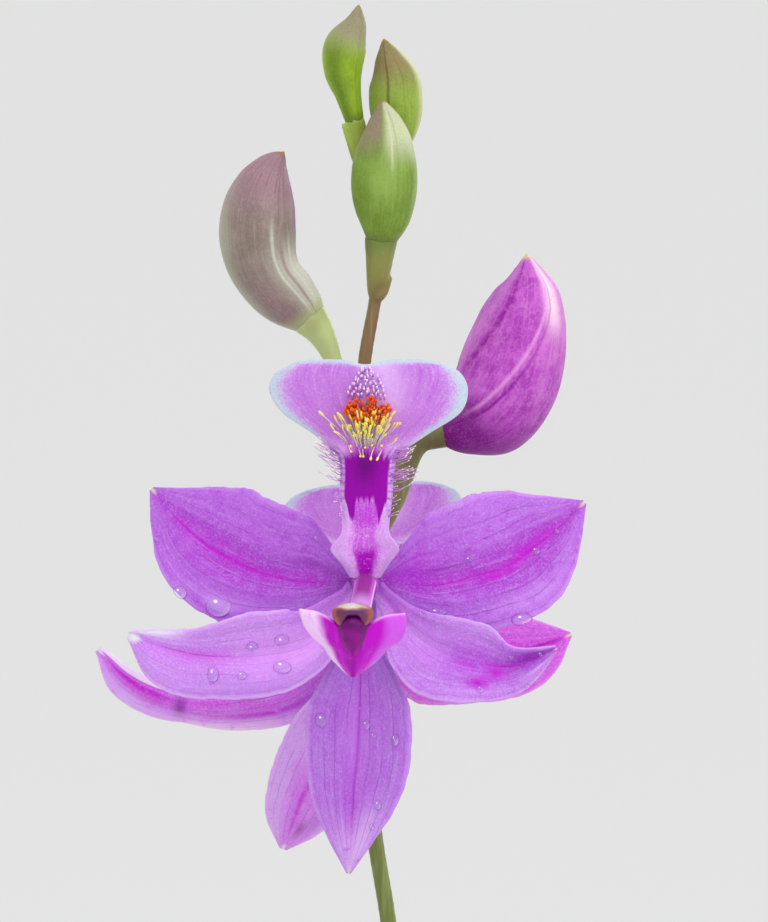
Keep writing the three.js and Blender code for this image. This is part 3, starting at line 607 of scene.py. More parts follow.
def petal_finish(name, stripe=(0.18, 0.86), strength=0.9, width=0.06, colours=None, tip=0.955,
                 veins=0.35, rolled=0.0, root=0.0, patches=()):
    """The finish of a sepal or petal. stripe is where the magenta band starts and ends, rolled how
    white the upper margin is where it rolls in, root how far the root's own colour shows, and
    patches are (u, v, reach along, reach across, colour, share)."""
    tint = {**PETAL_COLOURS, **(colours or {})}
    f = Finish(name, SOFT)
    u, v = f.run()
    side = abs(v)
    here = f.here()
    grain = f.noise(here, SKIN_CELLS, 3, 0.8)
    drift = f.noise(here, 210, 2)
    mottle = f.noise(here, 720, 4, 0.65)
    streaks = f.noise(f.vector(u * 4, v * 14), 1, 4, 0.6)
    lines = f.fade(f.nearest(v * 4.5 + (drift - 0.5) * 0.7), 0.015, 0.09)
    lines = lines * f.smooth(streaks, 0.38, 0.6) * f.fade(side, 0.8, 1)
    across = v + (drift - 0.5) * 0.12
    start, end = stripe
    along = f.smooth(u, start, start + 0.16) * f.fade(u, end - 0.12, end)
    band = f.hill(across, 0, width) * along * f.smooth(mottle, 0.26, 0.46)
    halo = f.hill(across, 0, width * 4.5) * along
    uneven = f.smooth(mottle, 0.24, 0.44)
    fringe = f.smooth(side + (mottle - 0.5) * 0.12, 0.88, 1)
    curled = f.smooth(v + (drift - 0.5) * 0.2, 0.3, 0.5)
    colour = f.layers(
        tint["deep"],
        (tint["light"], f.smooth(side + (drift - 0.5) * 0.6, 0.0, 0.75)),
        (tint["light"], f.smooth(mottle, 0.48, 0.66) * 0.6),
        (tint["deep"], f.smooth(mottle, 0.5, 0.34) * 0.5),
        (tint["edge"], f.smooth(streaks, 0.5, 0.7) * 0.3),
        # Pale specks of the cells: partly their own paler tone, partly painted glints.
        (tint["edge"], f.smooth(grain, 0.5, 0.64) * 0.3),
        (tint["vein"], f.smooth(grain, 0.47, 0.34) * 0.22),
        (tint["stripe"], halo * 0.3 * strength),
        *((tone, f.hill(u, a, reach) * f.hill(v, b, aside) * uneven * share)
          for a, b, reach, aside, tone, share in patches),
        (tint["vein"], lines * veins),
        (tint["stripe"], band * strength),
        (tint["root"], f.fade(u, 0.1, 0.4) * f.smooth(v, -0.5, 0.5) * root),
        (tint["edge"], fringe * f.smooth(u, 0.1, 0.4) * 0.45),
        (hue(238, 222, 244), curled * f.smooth(u, 0.6, 0.7) * rolled),
        (tint["tip"], f.smooth(u - side * 0.05, tip, tip + 0.035)),
        # More pale specks: partly the cells' own paler tone, partly painted glints.
        (tint["edge"], f.smooth(grain, 0.54, 0.7) * 0.12),
    )
    return f.done(colour, grain * 0.9 + streaks + mottle * 2.2 - lines * 0.4, 0.06)


# %% [markdown]
# The ten blades don't share one colour. The front sepals are the deepest, the front petals are
# paler, and the back flower's pieces are painted a glowing pink: painted light for the light that
# comes through them. Darker and paler patches sit at their own place on the blade; one thin dark
# band across the back left petal is painted shade in a fold. A blade that isn't listed here takes
# the finish as it comes.

# %% The front flower's blades
WHITISH = hue(226, 222, 236)
BRIGHT, DARK = hue(190, 10, 202), hue(136, 24, 168)

LOOKS = {
    ("front", "left_sepal"): {
        "stripe": (0.06, 0.92),
        "patches": [
            (0.17, 0.3, 0.16, 0.14, DARK, 0.5), (0.51, -0.76, 0.09, 0.2, hue(206, 166, 232), 0.8),
            (0.65, -0.9, 0.05, 0.12, hue(204, 160, 230), 0.6),
            (0.4, -0.7, 0.3, 0.4, hue(194, 128, 224), 0.5),
        ],
    },
    ("front", "right_sepal"): {
        "stripe": (0.14, 0.96), "veins": 0.5, "width": 0.05,
        "colours": {"light": hue(184, 108, 218), "edge": hue(208, 168, 234)},
        "patches": [
            (0.53, -0.1, 0.16, 0.12, BRIGHT, 0.9), (0.68, 0.04, 0.12, 0.2, BRIGHT, 0.8),
            (0.8, 0.1, 0.1, 0.16, BRIGHT, 0.6), (0.24, 0.2, 0.2, 0.08, DARK, 0.5),
            (0.12, 0.2, 0.26, 0.7, hue(182, 40, 208), 0.6),
            (0.6, -0.7, 0.3, 0.4, hue(206, 150, 232), 0.4),
        ],
    },
    ("front", "dorsal_sepal"): {
        "stripe": (0.0, 0.9), "width": 0.08, "strength": 0.55, "veins": 0.5,
        "colours": {"deep": hue(170, 84, 204), "light": hue(172, 110, 208),
                    "edge": hue(204, 162, 228), "stripe": hue(160, 20, 186),
                    "tip": hue(224, 196, 226)},
        "patches": [
            (0.85, -0.5, 0.2, 0.6, hue(214, 176, 232), 0.5),
            (0.98, 0.0, 0.24, 1.6, hue(228, 196, 238), 0.55),
            (0.5, 0.0, 0.3, 0.5, hue(196, 130, 226), 0.5),
        ],
    },
    ("front", "left_petal"): {
        "stripe": (0.5, 0.96), "strength": 0.5, "veins": 0.3, "tip": 0.93, "root": 0.5,
        "colours": {"deep": hue(204, 128, 232), "light": hue(194, 136, 224),
                    "edge": hue(222, 192, 240), "tip": WHITISH, "vein": hue(160, 50, 196)},
        "patches": [
            (0.7, 0.0, 0.2, 0.3, hue(196, 60, 216), 0.4),
            (0.3, -0.1, 0.4, 0.9, hue(222, 160, 240), 0.8),
            (0.5, -0.95, 0.5, 0.5, hue(172, 116, 206), 0.7), (0.9, 0.8, 0.16, 0.5, WHITISH, 0.8),
        ],
    },
    ("front", "right_petal"): {
        "stripe": (0.6, 0.98), "width": 0.07, "strength": 0.6, "root": 0.5, "tip": 0.97,
        "colours": {"deep": hue(180, 84, 214), "light": hue(190, 128, 222),
                    "edge": hue(218, 184, 238), "tip": WHITISH, "vein": hue(152, 40, 188)},
        "patches": [
            (0.87, 0.3, 0.26, 1.0, hue(136, 24, 172), 1.0), (0.63, -0.5, 0.08, 0.26, BRIGHT, 1.0),
            (0.7, -0.2, 0.08, 0.34, BRIGHT, 1.0), (0.76, 0.06, 0.16, 0.12, BRIGHT, 1.0),
            (0.56, -0.1, 0.12, 0.1, BRIGHT, 0.6), (0.6, 0.1, 0.4, 0.9, hue(172, 60, 208), 0.3),
            (0.3, 0.0, 0.3, 0.8, hue(214, 156, 238), 0.6),
            (0.9, -0.6, 0.12, 0.16, hue(222, 190, 238), 0.7),
        ],
    },
}

# %% The back flower's blades
# Painted light: lighter, pinker colours that stand for the light coming through the back flower's
# blades.
PAINTED_BACKLIGHT = {"deep": hue(204, 100, 226), "light": hue(206, 136, 230), "edge": hue(226, 184, 240)}
CREAM = hue(236, 206, 242)

LOOKS |= {
    ("back", "left_petal"): {
        "stripe": (0.62, 0.98), "width": 0.2, "rolled": 0.9,
        "colours": {**PAINTED_BACKLIGHT, "deep": hue(214, 96, 228), "tip": WHITISH},
        "patches": [
            (0.37, -0.5, 0.25, 0.16, BRIGHT, 0.9),
            # A thin dark band across the petal: painted shade in a fold.
            (0.66, -0.25, 0.035, 0.8, hue(132, 40, 160), 0.8),
            (0.5, -1.0, 0.36, 0.6, CREAM, 1.0), (0.2, -1.0, 0.3, 0.5, CREAM, 1.0),
            (0.82, -0.9, 0.26, 0.8, hue(216, 178, 238), 0.9),
        ],
    },
    ("back", "right_sepal"): {
        "stripe": (0.5, 1.0), "width": 0.1, "strength": 0.7,
        "colours": {**PAINTED_BACKLIGHT, "deep": hue(222, 76, 226), "light": hue(220, 108, 230)},
        "patches": [(0.86, 0.08, 0.16, 0.1, hue(170, 0, 170), 0.9)],
    },
    ("back", "dorsal_sepal"): {
        "stripe": (0.3, 0.95), "width": 0.1, "strength": 0.6,
        "colours": {**PAINTED_BACKLIGHT, "deep": hue(214, 132, 234), "light": hue(216, 170, 238),
                    "tip": WHITISH},
        "patches": [
            (0.8, -0.6, 0.3, 0.4, hue(178, 60, 200), 0.5),
            (0.88, -0.3, 0.08, 0.25, hue(150, 40, 150), 0.6),
        ],
    },
}

# %% Ten sepals and petals
BLADE_STEPS = (110, 64)

blades = {}
for (flower, part), shape in TEPALS.items():
    surface = tepal_surface(flower, **shape)
    piece = blade(f"{flower}_{part}_blade", surface, *BLADE_STEPS)
    finish = petal_finish(f"{flower} {part}", **LOOKS.get((flower, part), {}))
    blades[flower, part] = dress(piece, finish, "tepal", f"{flower}_{part}")

# %% [markdown]
# ## The lip
#
# The lip stands at the top of the flower. It has a small foot with two ears, a narrow claw, and a
# blade shaped like an anvil that carries the beard. It is one blade again, measured at thirteen
# places: how high each is above the flower's middle, how far out, and how far the lip reaches
# there to the left and to the right. The back flower's lip is the same, but bent over and twisted.

# %% The formula of the lip
LIP_STATIONS = [
    (0.8, 1.25, 1.4, 1.4), (2.1, 1.7, 2.2, 2.2), (3.4, 1.9, 3.1, 3), (4.7, 2, 2.2, 2.2),
    (6.1, 2.1, 2.1, 2.2), (8.1, 2.3, 2.3, 2.4), (10.4, 2.5, 2.2, 2.6), (11.9, 2.6, 2.6, 3.1),
    (13.7, 2.7, 4.6, 5.6), (15.6, 2.7, 7.4, 8.5), (17.6, 2.5, 8.6, 9.2), (19.2, 2.3, 8, 8.5),
    (20.4, 2.1, 6.3, 6.8),
]
LIP_POSES = {
    "front": {"size": 1, "twist": 0, "sway": 0, "bend": 0, "droop": 0},
    "back": {"size": 0.93, "twist": -0.05, "sway": 0.06, "bend": 0.78, "droop": 0.9},
}
BEND_FROM, BEND_OVER = 3, 4
EARS, CHANNEL, CREST = (0.9, 0.17, 0.12), (-0.7, 0.46, 0.16), (0.5, 0.88, 0.12)


def bulge(u, height, middle, width):
    """A soft rise of a height in mm round a place on the lip."""
    return height * math.exp(-(((u - middle) / width) ** 2))


def lip_surface(flower):
    """surface(u, v, ahead) of a lip: u from foot to top, v across, ahead in front of it in mm."""
    place = placer(flower)
    up, out, left, right = (profile([s[i] for s in LIP_STATIONS]) for i in range(4))
    pose = LIP_POSES[flower]
    size, bend = pose["size"], pose["bend"]

    def surface(u, v, ahead=0):
        reach = size * v * (left if v < 0 else right)(u)
        broad = ramp(u, 0.55, 0.85)
        notch = 0.45 * math.exp(-v * v * 22) + 0.35 * v**6
        ears, channel = bulge(u, *EARS) * v * v, bulge(u, *CHANNEL) * v * v
        crest = bulge(u, *CREST) * math.exp(-v * v * 12)
        rise = size * (up(u) - broad * notch * ramp(u, 0.9, 1)) - pose["droop"] * broad * v * v
        depth = out(u) + ears + channel + crest - 0.8 * broad * v * v + ahead
        depth += 0.05 * broad * v * v * math.sin(23 * u + 9 * v)
        past = max(0.0, min(1.0, (rise - BEND_FROM) / BEND_OVER))
        bent = past * past * BEND_OVER / 2 + max(0, rise - BEND_FROM - BEND_OVER)
        height = rise - bent * (1 - math.cos(bend)) - depth * math.sin(bend * past)
        forward = bent * math.sin(bend) + depth * math.cos(bend * past)
        roll = pose["twist"] * past
        across = reach * math.cos(roll) + pose["sway"] * height
        return place(across, forward, height - reach * math.sin(roll))

    return surface


# %% [markdown]
# The claw is the strongest colour on the plant, a magenta that stops in points lower down, with
# pale rolled sides. The blade is pale lilac with darker strokes that fan out from the beard, and
# its margin is nearly white. All of this is laid out in the lip's own shares along and across.


# %% Lip finish
def lip_finish(name):
    f = Finish(name, {**SOFT, "Roughness": 0.4, "Specular IOR Level": 0.1})
    u, v = f.run()
    side = abs(v)
    here = f.here()
    grain = f.noise(here, SKIN_CELLS, 3, 0.8)
    drift = f.noise(here, 420, 2)
    strokes = f.noise(f.vector(u * 8, (v - f.smooth(u, 0.6, 1) * v * 0.35) * 24), 1, 4, 0.65)
    broad = f.smooth(u, 0.6, 0.68)
    fingers = f.hill(side, 0.55, 0.25) * 0.085 + f.hill(f.nearest(v * 5 + 0.25), 0, 0.25) * 0.018
    claw = f.smooth(u + fingers + (drift - 0.5) * 0.03, 0.4, 0.425)
    fringe = f.noise(f.vector(v * 12, u * 5), 1, 3)
    claw = claw * f.fade(u + (fringe - 0.5) * 0.12 + side * 0.04, 0.58, 0.64)
    claw = claw * f.fade(side + (drift - 0.5) * 0.08, 0.74, 0.82)
    spot = f.fade(side + (drift - 0.5) * 0.1, 0.24, 0.46) * f.smooth(u, 0.0, 0.03)
    spot = spot * f.fade(u + (drift - 0.5) * 0.04, 0.12, 0.21)
    ribs = f.hill(f.nearest(u * 38 + drift), 0, 0.3) * f.smooth(side, 0.66, 0.8)
    ribs = ribs * f.smooth(u, 0.36, 0.42) * f.fade(u, 0.58, 0.66)
    pale_lines = f.smooth(f.noise(f.vector(u * 3, v * 9), 1, 2), 0.48, 0.62)
    foot = f.layers(
        hue(200, 100, 218),
        (hue(214, 160, 232), f.smooth(side + (drift - 0.5) * 0.4, 0.3, 0.6)),
        (hue(222, 150, 230), pale_lines * 0.6),
        (hue(190, 70, 204), f.smooth(grain, 0.48, 0.36) * 0.35),
        (hue(232, 204, 238), f.smooth(grain, 0.52, 0.64) * 0.35),
        (hue(196, 150, 216), f.smooth(side + (drift - 0.5) * 0.3, 0.62, 0.9) * 0.6),
        (hue(184, 50, 206), f.hill(u, 0.35, 0.12) * f.fade(side, 0.5, 0.7) * 0.7),
        (hue(170, 0, 184), spot),
    )
    rim = f.smooth(side + (drift - 0.5) * 0.12 + (grain - 0.5) * 0.2, 0.82, 0.97)
    margin = f.sum("MAXIMUM", rim, f.smooth(u + (grain - 0.5) * 0.03, 0.955, 0.99))
    face = f.layers(
        hue(188, 120, 210),
        (hue(172, 84, 202), f.smooth(strokes, 0.5, 0.68) * 0.5),
        (hue(208, 160, 226), f.smooth(strokes, 0.47, 0.3) * 0.5),
        (hue(214, 176, 230), f.hill(v, 0.2, 0.36) * f.smooth(u, 0.68, 0.8) * 0.7),
        (hue(210, 174, 226), f.hill(side, 0, 0.5) * f.fade(u, 0.68, 0.76) * 0.8),
        (hue(206, 184, 226), f.smooth(side + (grain - 0.5) * 0.3, 0.7, 0.95) * 0.6),
        (hue(182, 204, 212), margin * 0.9),
        (hue(160, 70, 190), f.smooth(grain, 0.46, 0.34) * 0.25),
    )
    sides = f.mix(hue(208, 168, 228), hue(160, 30, 184), ribs * 0.6)
    throat = f.hill(u, 0.52, 0.1) * f.hill(v, 0, 0.7)
    narrow = f.mix(foot, sides, f.smooth(side, 0.7, 0.8) * f.smooth(u, 0.34, 0.42))
    colour = f.layers(
        f.mix(narrow, face, broad),
        (hue(226, 206, 234), f.smooth(grain, 0.54, 0.68) * 0.28),
        (f.mix(hue(150, 0, 166), hue(112, 0, 126), throat), claw),
    )
    return f.done(colour, grain * 0.6 + strokes, 0.05)


# %% Two lips
LIP_STEPS = (150, 90)

lips = {flower: lip_surface(flower) for flower in FLOWERS}
for flower, surface in lips.items():
    piece = blade(f"{flower}_lip_blade", surface, *LIP_STEPS)
    dress(piece, lip_finish(f"{flower} lip"), "lip", f"{flower}_lip")

# %% [markdown]
# ## The beard
#
# Three kinds of club-headed hairs stand on the lip: short orange ones packed in a round patch,
# longer yellow ones that fan out below them, and long pale ones along the claw. Above them the
# crest carries rows of soft pink papillae. Blender's hair system could grow them, but these are
# fleshy bodies with a swollen head, so each is a small closed tube of a few dozen faces, set on
# the lip's own surface. Every place and length comes from one seeded draw for each flower.

# %% A club-headed hair
HAIR_SIDES = 6
HEAD_SHAPE = ((0.25, 0.8), (0.55, 1), (0.86, 0.75), (1, 0))


def add_hair(bm, root, tip, thin, head, bow, neck=0.84):
    """A hair from root to tip, bent by bow, whose head starts at the share neck. Sizes in mm."""
    stations = [(0, 0), (0.01, 1.4 * thin), (neck * 0.5, thin), (neck, thin * 0.9)]
    for share, fullness in HEAD_SHAPE:
        stations.append((between(neck, 1, share), head * fullness))
    middle = (root + tip) / 2 + bow
    chord = (tip - root).normalized()
    normal = chord.orthogonal().normalized()
    binormal = chord.cross(normal)
    last = len(stations) - 1

    def place(u, angle):
        share, reach = stations[round(u * last)]
        spot = root * (1 - share) ** 2 + middle * 2 * share * (1 - share) + tip * share**2
        return spot + (normal * math.cos(angle) + binormal * math.sin(angle)) * reach

    add_tube(bm, place, last, HAIR_SIDES)


# %% [markdown]
# A hair's colour changes from its root to its head, so its finish is a ramp along the run map,
# with a little noise so that no two heads match.


# %% Hair finish
def hair_finish(name, root, shaft, head):
    f = Finish(name, {"Roughness": 0.35, "Subsurface Weight": 0.3, "Subsurface Scale": 0.0004,
                      "Specular IOR Level": 0.4})
    u, _ = f.run()
    drift = f.noise(f.here(), 1400, 1)
    colour = f.mix(root, shaft, f.smooth(u + (drift - 0.5) * 0.3, 0.0, 0.4))
    colour = f.mix(colour, head, f.smooth(u + (drift - 0.5) * 0.3, 0.45, 0.62))
    shade = f.mix(colour, root, f.smooth(drift, 0.5, 0.75) * 0.4)
    return f.done(shade, f.noise(f.here(), 6000, 1), 0.02)


# %% Directions on the lip
def side_of(surface, u, v):
    """The way across the lip at a place, away from its middle."""
    step = 0.02 if v > 0 else -0.02
    return (surface(u, v + step) - surface(u, v)).normalized()


def ahead_of(surface, u, v):
    return (surface(u, v, 1) - surface(u, v, 0)).normalized()


def up_of(surface, u, v):
    return (surface(u + 0.01, v) - surface(u - 0.01, v)).normalized()


def small_bow(draw, reach):
    return Vector([draw.uniform(-reach, reach) for _ in range(3)])


# %% Orange hairs
ROOT_OUT = 0.2
ORANGE_HAIRS, YELLOW_HAIRS, HANGING_HAIRS = 130, 76, 9
PATCH_MIDDLE, PATCH_REACH = (0.738, 0.01), (0.045, 0.23)


def orange_hairs(surface, draw):
    """Short upright clubs in a round patch, leaning out from its middle."""
    hairs = []
    for _ in range(ORANGE_HAIRS):
        angle, ring = draw.uniform(0, 2 * math.pi), draw.random() ** 0.5
        u = PATCH_MIDDLE[0] + PATCH_REACH[0] * ring * math.sin(angle)
        v = PATCH_REACH[1] * ring * math.cos(angle) + PATCH_MIDDLE[1]
        root = surface(u, v, ROOT_OUT)
        lean = side_of(surface, u, v) * ring * draw.uniform(0.0, 0.25)
        rise = up_of(surface, u, v) * draw.uniform(0.5, 1)
        tip = root + ahead_of(surface, u, v) * draw.uniform(0.6, 1.2) + lean + rise
        hairs.append((root, tip, 0.08, draw.uniform(0.13, 0.17), small_bow(draw, 0.08), 0.5))
    return hairs


# %% Yellow hairs
def yellow_hairs(surface, draw):
    """Long clubs that rise and fan out, and a few that hang over the claw."""
    hairs = []
    for _ in range(YELLOW_HAIRS):
        v = max(-0.44, min(0.44, draw.gauss(0, 0.21)))
        u = draw.uniform(0.605, 0.68) + 0.02 * abs(v)
        root = surface(u, v, ROOT_OUT)
        fan = side_of(surface, u, v) * abs(v) * draw.uniform(0.2, 1.8)
        rise = up_of(surface, u, v) * draw.uniform(0.8, 2.6)
        tip = root + ahead_of(surface, u, v) * draw.uniform(0.7, 2) + fan + rise
        hairs.append((root, tip, 0.042, draw.uniform(0.09, 0.13), small_bow(draw, 0.35), 0.64))
    for _ in range(HANGING_HAIRS):
        u, v = draw.uniform(0.6, 0.63), draw.uniform(-0.5, 0.5)
        root = surface(u, v, ROOT_OUT)
        drop = up_of(surface, u, v) * draw.uniform(-1.6, 0.2)
        tip = root + ahead_of(surface, u, v) * draw.uniform(1, 1.5) + drop
        hairs.append((root, tip, 0.05, 0.12, small_bow(draw, 0.2), 0.7))
    return hairs


# %% [markdown]
# The pale hairs stand out sideways from both margins of the claw in loose tufts, longest a little
# above its middle, and some cross each other. A tuft is given by where it starts and ends on the
# lip, and by its lengths and lifts on the left and on the right. The papillae stand in rows that
# get narrower towards the top, and the papillae finer.


# %% Claw hairs
CLAW_TUFTS = [
    (0.55, 0.6, (1.7, 1.5), (0.85, 0.3)), (0.54, 0.59, (1.3, 1.4), (1.1, 0.6)),
    (0.46, 0.54, (2.9, 3.1), (0.4, 0.2)), (0.42, 0.5, (1.6, 2.1), (0.5, 0.3)),
    (0.33, 0.43, (0.8, 1), (0.1, 0.2)),
]
TUFT_HAIRS = 11


def claw_hairs(surface, draw):
    """Long pale clubs in tufts along both margins of the claw."""
    hairs = []
    for side in (-1, 1):
        for start, end, length, lift in CLAW_TUFTS:
            for _ in range(TUFT_HAIRS):
                u, v = draw.uniform(start, end), side * draw.uniform(0.7, 0.97)
                root = surface(u, v, 0.1)
                reach = length[side > 0] * draw.uniform(0.5, 1.1)
                sideways = side_of(surface, u, v) * reach
                rise = up_of(surface, u, v) * (lift[side > 0] + draw.gauss(0, 0.2)) * reach
                tip = root + sideways + rise + ahead_of(surface, u, v) * draw.uniform(-0.1, 1.3)
                bow = up_of(surface, u, v) * draw.uniform(-0.35, 0.1) * reach + small_bow(draw, 0.3)
                thin = draw.uniform(0.026, 0.036)
                hairs.append((root, tip, thin, draw.uniform(0.05, 0.075), bow, 0.9))
    return hairs


# %% Papillae
CREST_ROWS, CREST_FOOT, ROW_GAP = 12, 0.806, 0.0148


def papillae(surface, draw):
    """Soft knobs in rows up the middle of the crest."""
    hairs = []
    for row in range(CREST_ROWS):
        u = CREST_FOOT + ROW_GAP * row
        half = 0.2 * (1 - row / 13.5)
        count = max(1, round(9 * (1 - row / 13)))
        for k in range(count):
            v = half * (2 * (k + draw.uniform(0.15, 0.85)) / count - 1) + 0.01
            root = surface(u + draw.uniform(-0.007, 0.007), v, 0.15)
            rise = up_of(surface, u, v) * draw.uniform(0.3, 0.75)
            tip = root + ahead_of(surface, u, v) * draw.uniform(0.5, 0.8) + rise
            thin = draw.uniform(0.075, 0.1) * (1 - row / 26)
            head = thin * draw.uniform(1.15, 1.4)
            hairs.append((root, tip, thin, head, small_bow(draw, 0.08), 0.5))
    return hairs


# %% The hairs of both flowers
HAIR_SEEDS = {"front": 11, "back": 23}
HAIRS = {
    "orange_hairs": (orange_hairs, "beard_orange", (240, 190, 70), (242, 150, 30), (228, 86, 8)),
    "yellow_hairs": (yellow_hairs, "beard_yellow",
                     (216, 180, 226), (238, 232, 190), (246, 230, 104)),
    "claw_hairs": (claw_hairs, "lip", (146, 10, 168), (208, 156, 228), (238, 230, 216)),
    "papillae": (papillae, "lip", (190, 84, 208), (214, 136, 228), (238, 216, 242)),
}

hair_finishes = {name: hair_finish(name.replace("_", " "), *(hue(*colour) for colour in colours))
                 for name, (_, _, *colours) in HAIRS.items()}
for flower, seed in HAIR_SEEDS.items():
    surface, draw = lips[flower], random.Random(seed)
    for name, (grow, slot, *_) in HAIRS.items():
        bm = bmesh.new()
        for hair in grow(surface, draw):
            add_hair(bm, *hair)
        stands_for = [f"{flower}_{slot}"] if slot.startswith("beard") else []
        dress(piece_from(bm, f"{flower}_{name}"), hair_finishes[name], slot, *stands_for)

# %% [markdown]
# ## The column
#
# The column arches forward from the ovary and up to its tip, which carries the anther under a
# brown cap and has a broad wing on each side. The arch is a tapered tube. The wings are a blade,
# swept back at the sides and dipped in the middle. A keel stands in front of them and runs up
# under the cap.

# %% The measures of the column
COLUMN_SPINE = [(0, 0.5, 0), (0, 2, -0.1), (-0.4, 4.6, -1.9), (-0.8, 8, -4), (-1, 10.6, -4.9),
                (-1.1, 12.3, -4.6), (-1.1, 12.9, -3.4)]
COLUMN_RADII = [1.05, 1, 1, 1, 0.9, 0.85, 0.9]
KEEL_SPINE = [(-1.1, 12.4, -5.9), (-1.1, 13, -4.5), (-1.1, 13.15, -1.6)]
KEEL_RADII = [0.1, 0.5, 0.85, 1.15, 1.35, 1.35, 0.8]
WING_MIDDLE, WING_FRONT = -1.1, 13.3
WING_LEFT = [0.2, 1.2, 2.05, 2.55, 3.5, 4.15, 4.5, 4.75]
WING_RIGHT = [0.2, 1.5, 2.4, 3.1, 4.2, 4.6, 4.7, 4.6]
WING_BOTTOM, WING_HEIGHT, WING_TILT = -7.25, 5.75, 0.2
WING_SWEEP, WING_DIP = 1.6, 1.6


def wing_surface(flower):
    """surface(u, v) of both wings: u from the bottom up, v from the left tip to the right."""
    place, left, right = placer(flower), profile(WING_LEFT), profile(WING_RIGHT)

    def surface(u, v):
        back = WING_SWEEP * (abs(v) ** 1.5 + (1 - u) ** 2)
        dip = WING_DIP * u * math.exp(-v * v * 5) + WING_TILT * u * v
        fold = 0.07 * v * v * math.sin(9 * u + 14 * v)
        across = WING_MIDDLE + v * (left if v < 0 else right)(u)
        return place(across, WING_FRONT - back + fold, WING_BOTTOM + WING_HEIGHT * u - dip)

    return surface


# %% Column finish
GLOSSY = {**SOFT, "Roughness": 0.35, "Specular IOR Level": 0.15}


def column_finish(name, top):
    """top is where the arch's upper side is on its run map."""
    f = Finish(name, GLOSSY)
    u, v = f.run()
    drift = f.noise(f.here(), 600, 2)
    aside = abs(v - top)
    colour = f.layers(
        hue(146, 50, 144),
        (hue(196, 92, 200), f.smooth(aside + (drift - 0.5) * 0.1, 0.16, 0.3)),
        (hue(206, 150, 222), f.hill(u, 0.33, 0.13) * 0.8),
        (hue(232, 206, 238), f.hill(aside, 0.37, 0.055)),
        # Painted shade: the half of the arch away from its upper side is dark.
        (hue(112, 6, 112), f.smooth(aside, 0.42, 0.47)),
        # Darker at the tip under the anther cap: partly its own dark purple, partly painted shade
        # under the cap.
        (hue(104, 12, 108), f.smooth(u, 0.7, 0.85)),
    )
    return f.done(colour, drift, 0.03)


# %% Keel finish
def keel_finish(name):
    f = Finish(name, GLOSSY)
    u, v = f.run()
    drift = f.noise(f.here(), 700, 2)
    colour = f.layers(
        hue(134, 14, 130),
        (hue(100, 10, 104), f.smooth(drift, 0.45, 0.62) * 0.8),
        (hue(144, 70, 96), f.smooth(abs(abs(v) - 0.5), 0.34, 0.44) * 0.7),
        (hue(174, 0, 182), f.fade(u, 0.08, 0.42) * 0.8),
        # Darker at the top under the anther cap: partly its own dark purple, partly painted shade
        # under the cap.
        (hue(92, 8, 96), f.smooth(u, 0.6, 0.78) * 0.7),
    )
    return f.done(colour, drift, 0.05)


# %% Wing finish
def wing_finish(name):
    f = Finish(name, GLOSSY)
    u, v = f.run()
    drift = f.noise(f.here(), 500, 2)
    fan = f.noise(f.vector(u * 3, v * 8), 1, 2)
    outer = f.smooth(abs(v) + (drift - 0.5) * 0.16, 0.5, 0.74)
    pale = f.mix(hue(202, 88, 224), hue(236, 198, 244), f.smooth(v * -1, -0.1, 0.1))
    colour = f.layers(
        hue(186, 0, 194),
        (hue(150, 10, 152), f.hill(v, 0, 0.3) * 0.7),
        (pale, outer),
        (hue(200, 70, 216), f.smooth(fan, 0.5, 0.7) * 0.3),
        (hue(232, 190, 240), f.smooth(u, 0.95, 1) * f.smooth(abs(v), 0.3, 0.5) * 0.6),
    )
    return f.done(colour, fan + f.cells(f.here(), 5600) * -0.6, 0.04)


# %% Two columns with their wings
ARCH_STEPS, KEEL_STEPS, WING_STEPS = (60, 32), (30, 28), (44, 80)
UPPER_SIDE = {"front": 0.5, "back": -0.5}


def rounded_stalk(name, place, spine, radii, steps, section=lambda angle, u: 1):
    """A tapered body with round ends along a spine that starts from the middle of a flower."""
    size = profile(radii)
    ends = lambda u: min(1, math.sqrt(max(0, min(1, (1 - u) * 14))), math.sqrt(min(1, u * 30)))
    path = Path([place(*point) for point in spine])
    bm = bmesh.new()
    add_stalk(bm, path, lambda u: size(u) * ends(u), *steps, section)
    return piece_from(bm, name)


for flower, top in UPPER_SIDE.items():
    place, node = placer(flower), f"{flower}_column"
    arch = rounded_stalk(f"{node}_arch", place, COLUMN_SPINE, COLUMN_RADII, ARCH_STEPS)
    dress(arch, column_finish(f"{flower} column", top), "column", node)
    keel = rounded_stalk(f"{node}_keel", place, KEEL_SPINE, KEEL_RADII, KEEL_STEPS,
                         lambda angle, u: 1 - 0.06 * abs(math.sin(2 * angle)))
    dress(keel, keel_finish(f"{flower} keel"), "column", node)
    wings = blade(f"{node}_wings", wing_surface(flower), *WING_STEPS, 0.6, 0.45)
    dress(wings, wing_finish(f"{flower} wings"), "column", node)

# %% [markdown]
# ## The anther cap
#
# A brown cap with two lobes that hang down sits on the column's tip. It is a ball rolled up from
# the same flat grid, so that its run map tells the front from the sides. A sphere from the menu
# would do for the shape, but it has no such map.

# %% Two anther caps
CAP_MIDDLE = (-1.1, 13.4, -1.5)
CAP_REACH = (1.85, 1.1)
CAP_TOP, CAP_LOBES = 0.85, 1.6
CAP_STEPS = (40, 64)


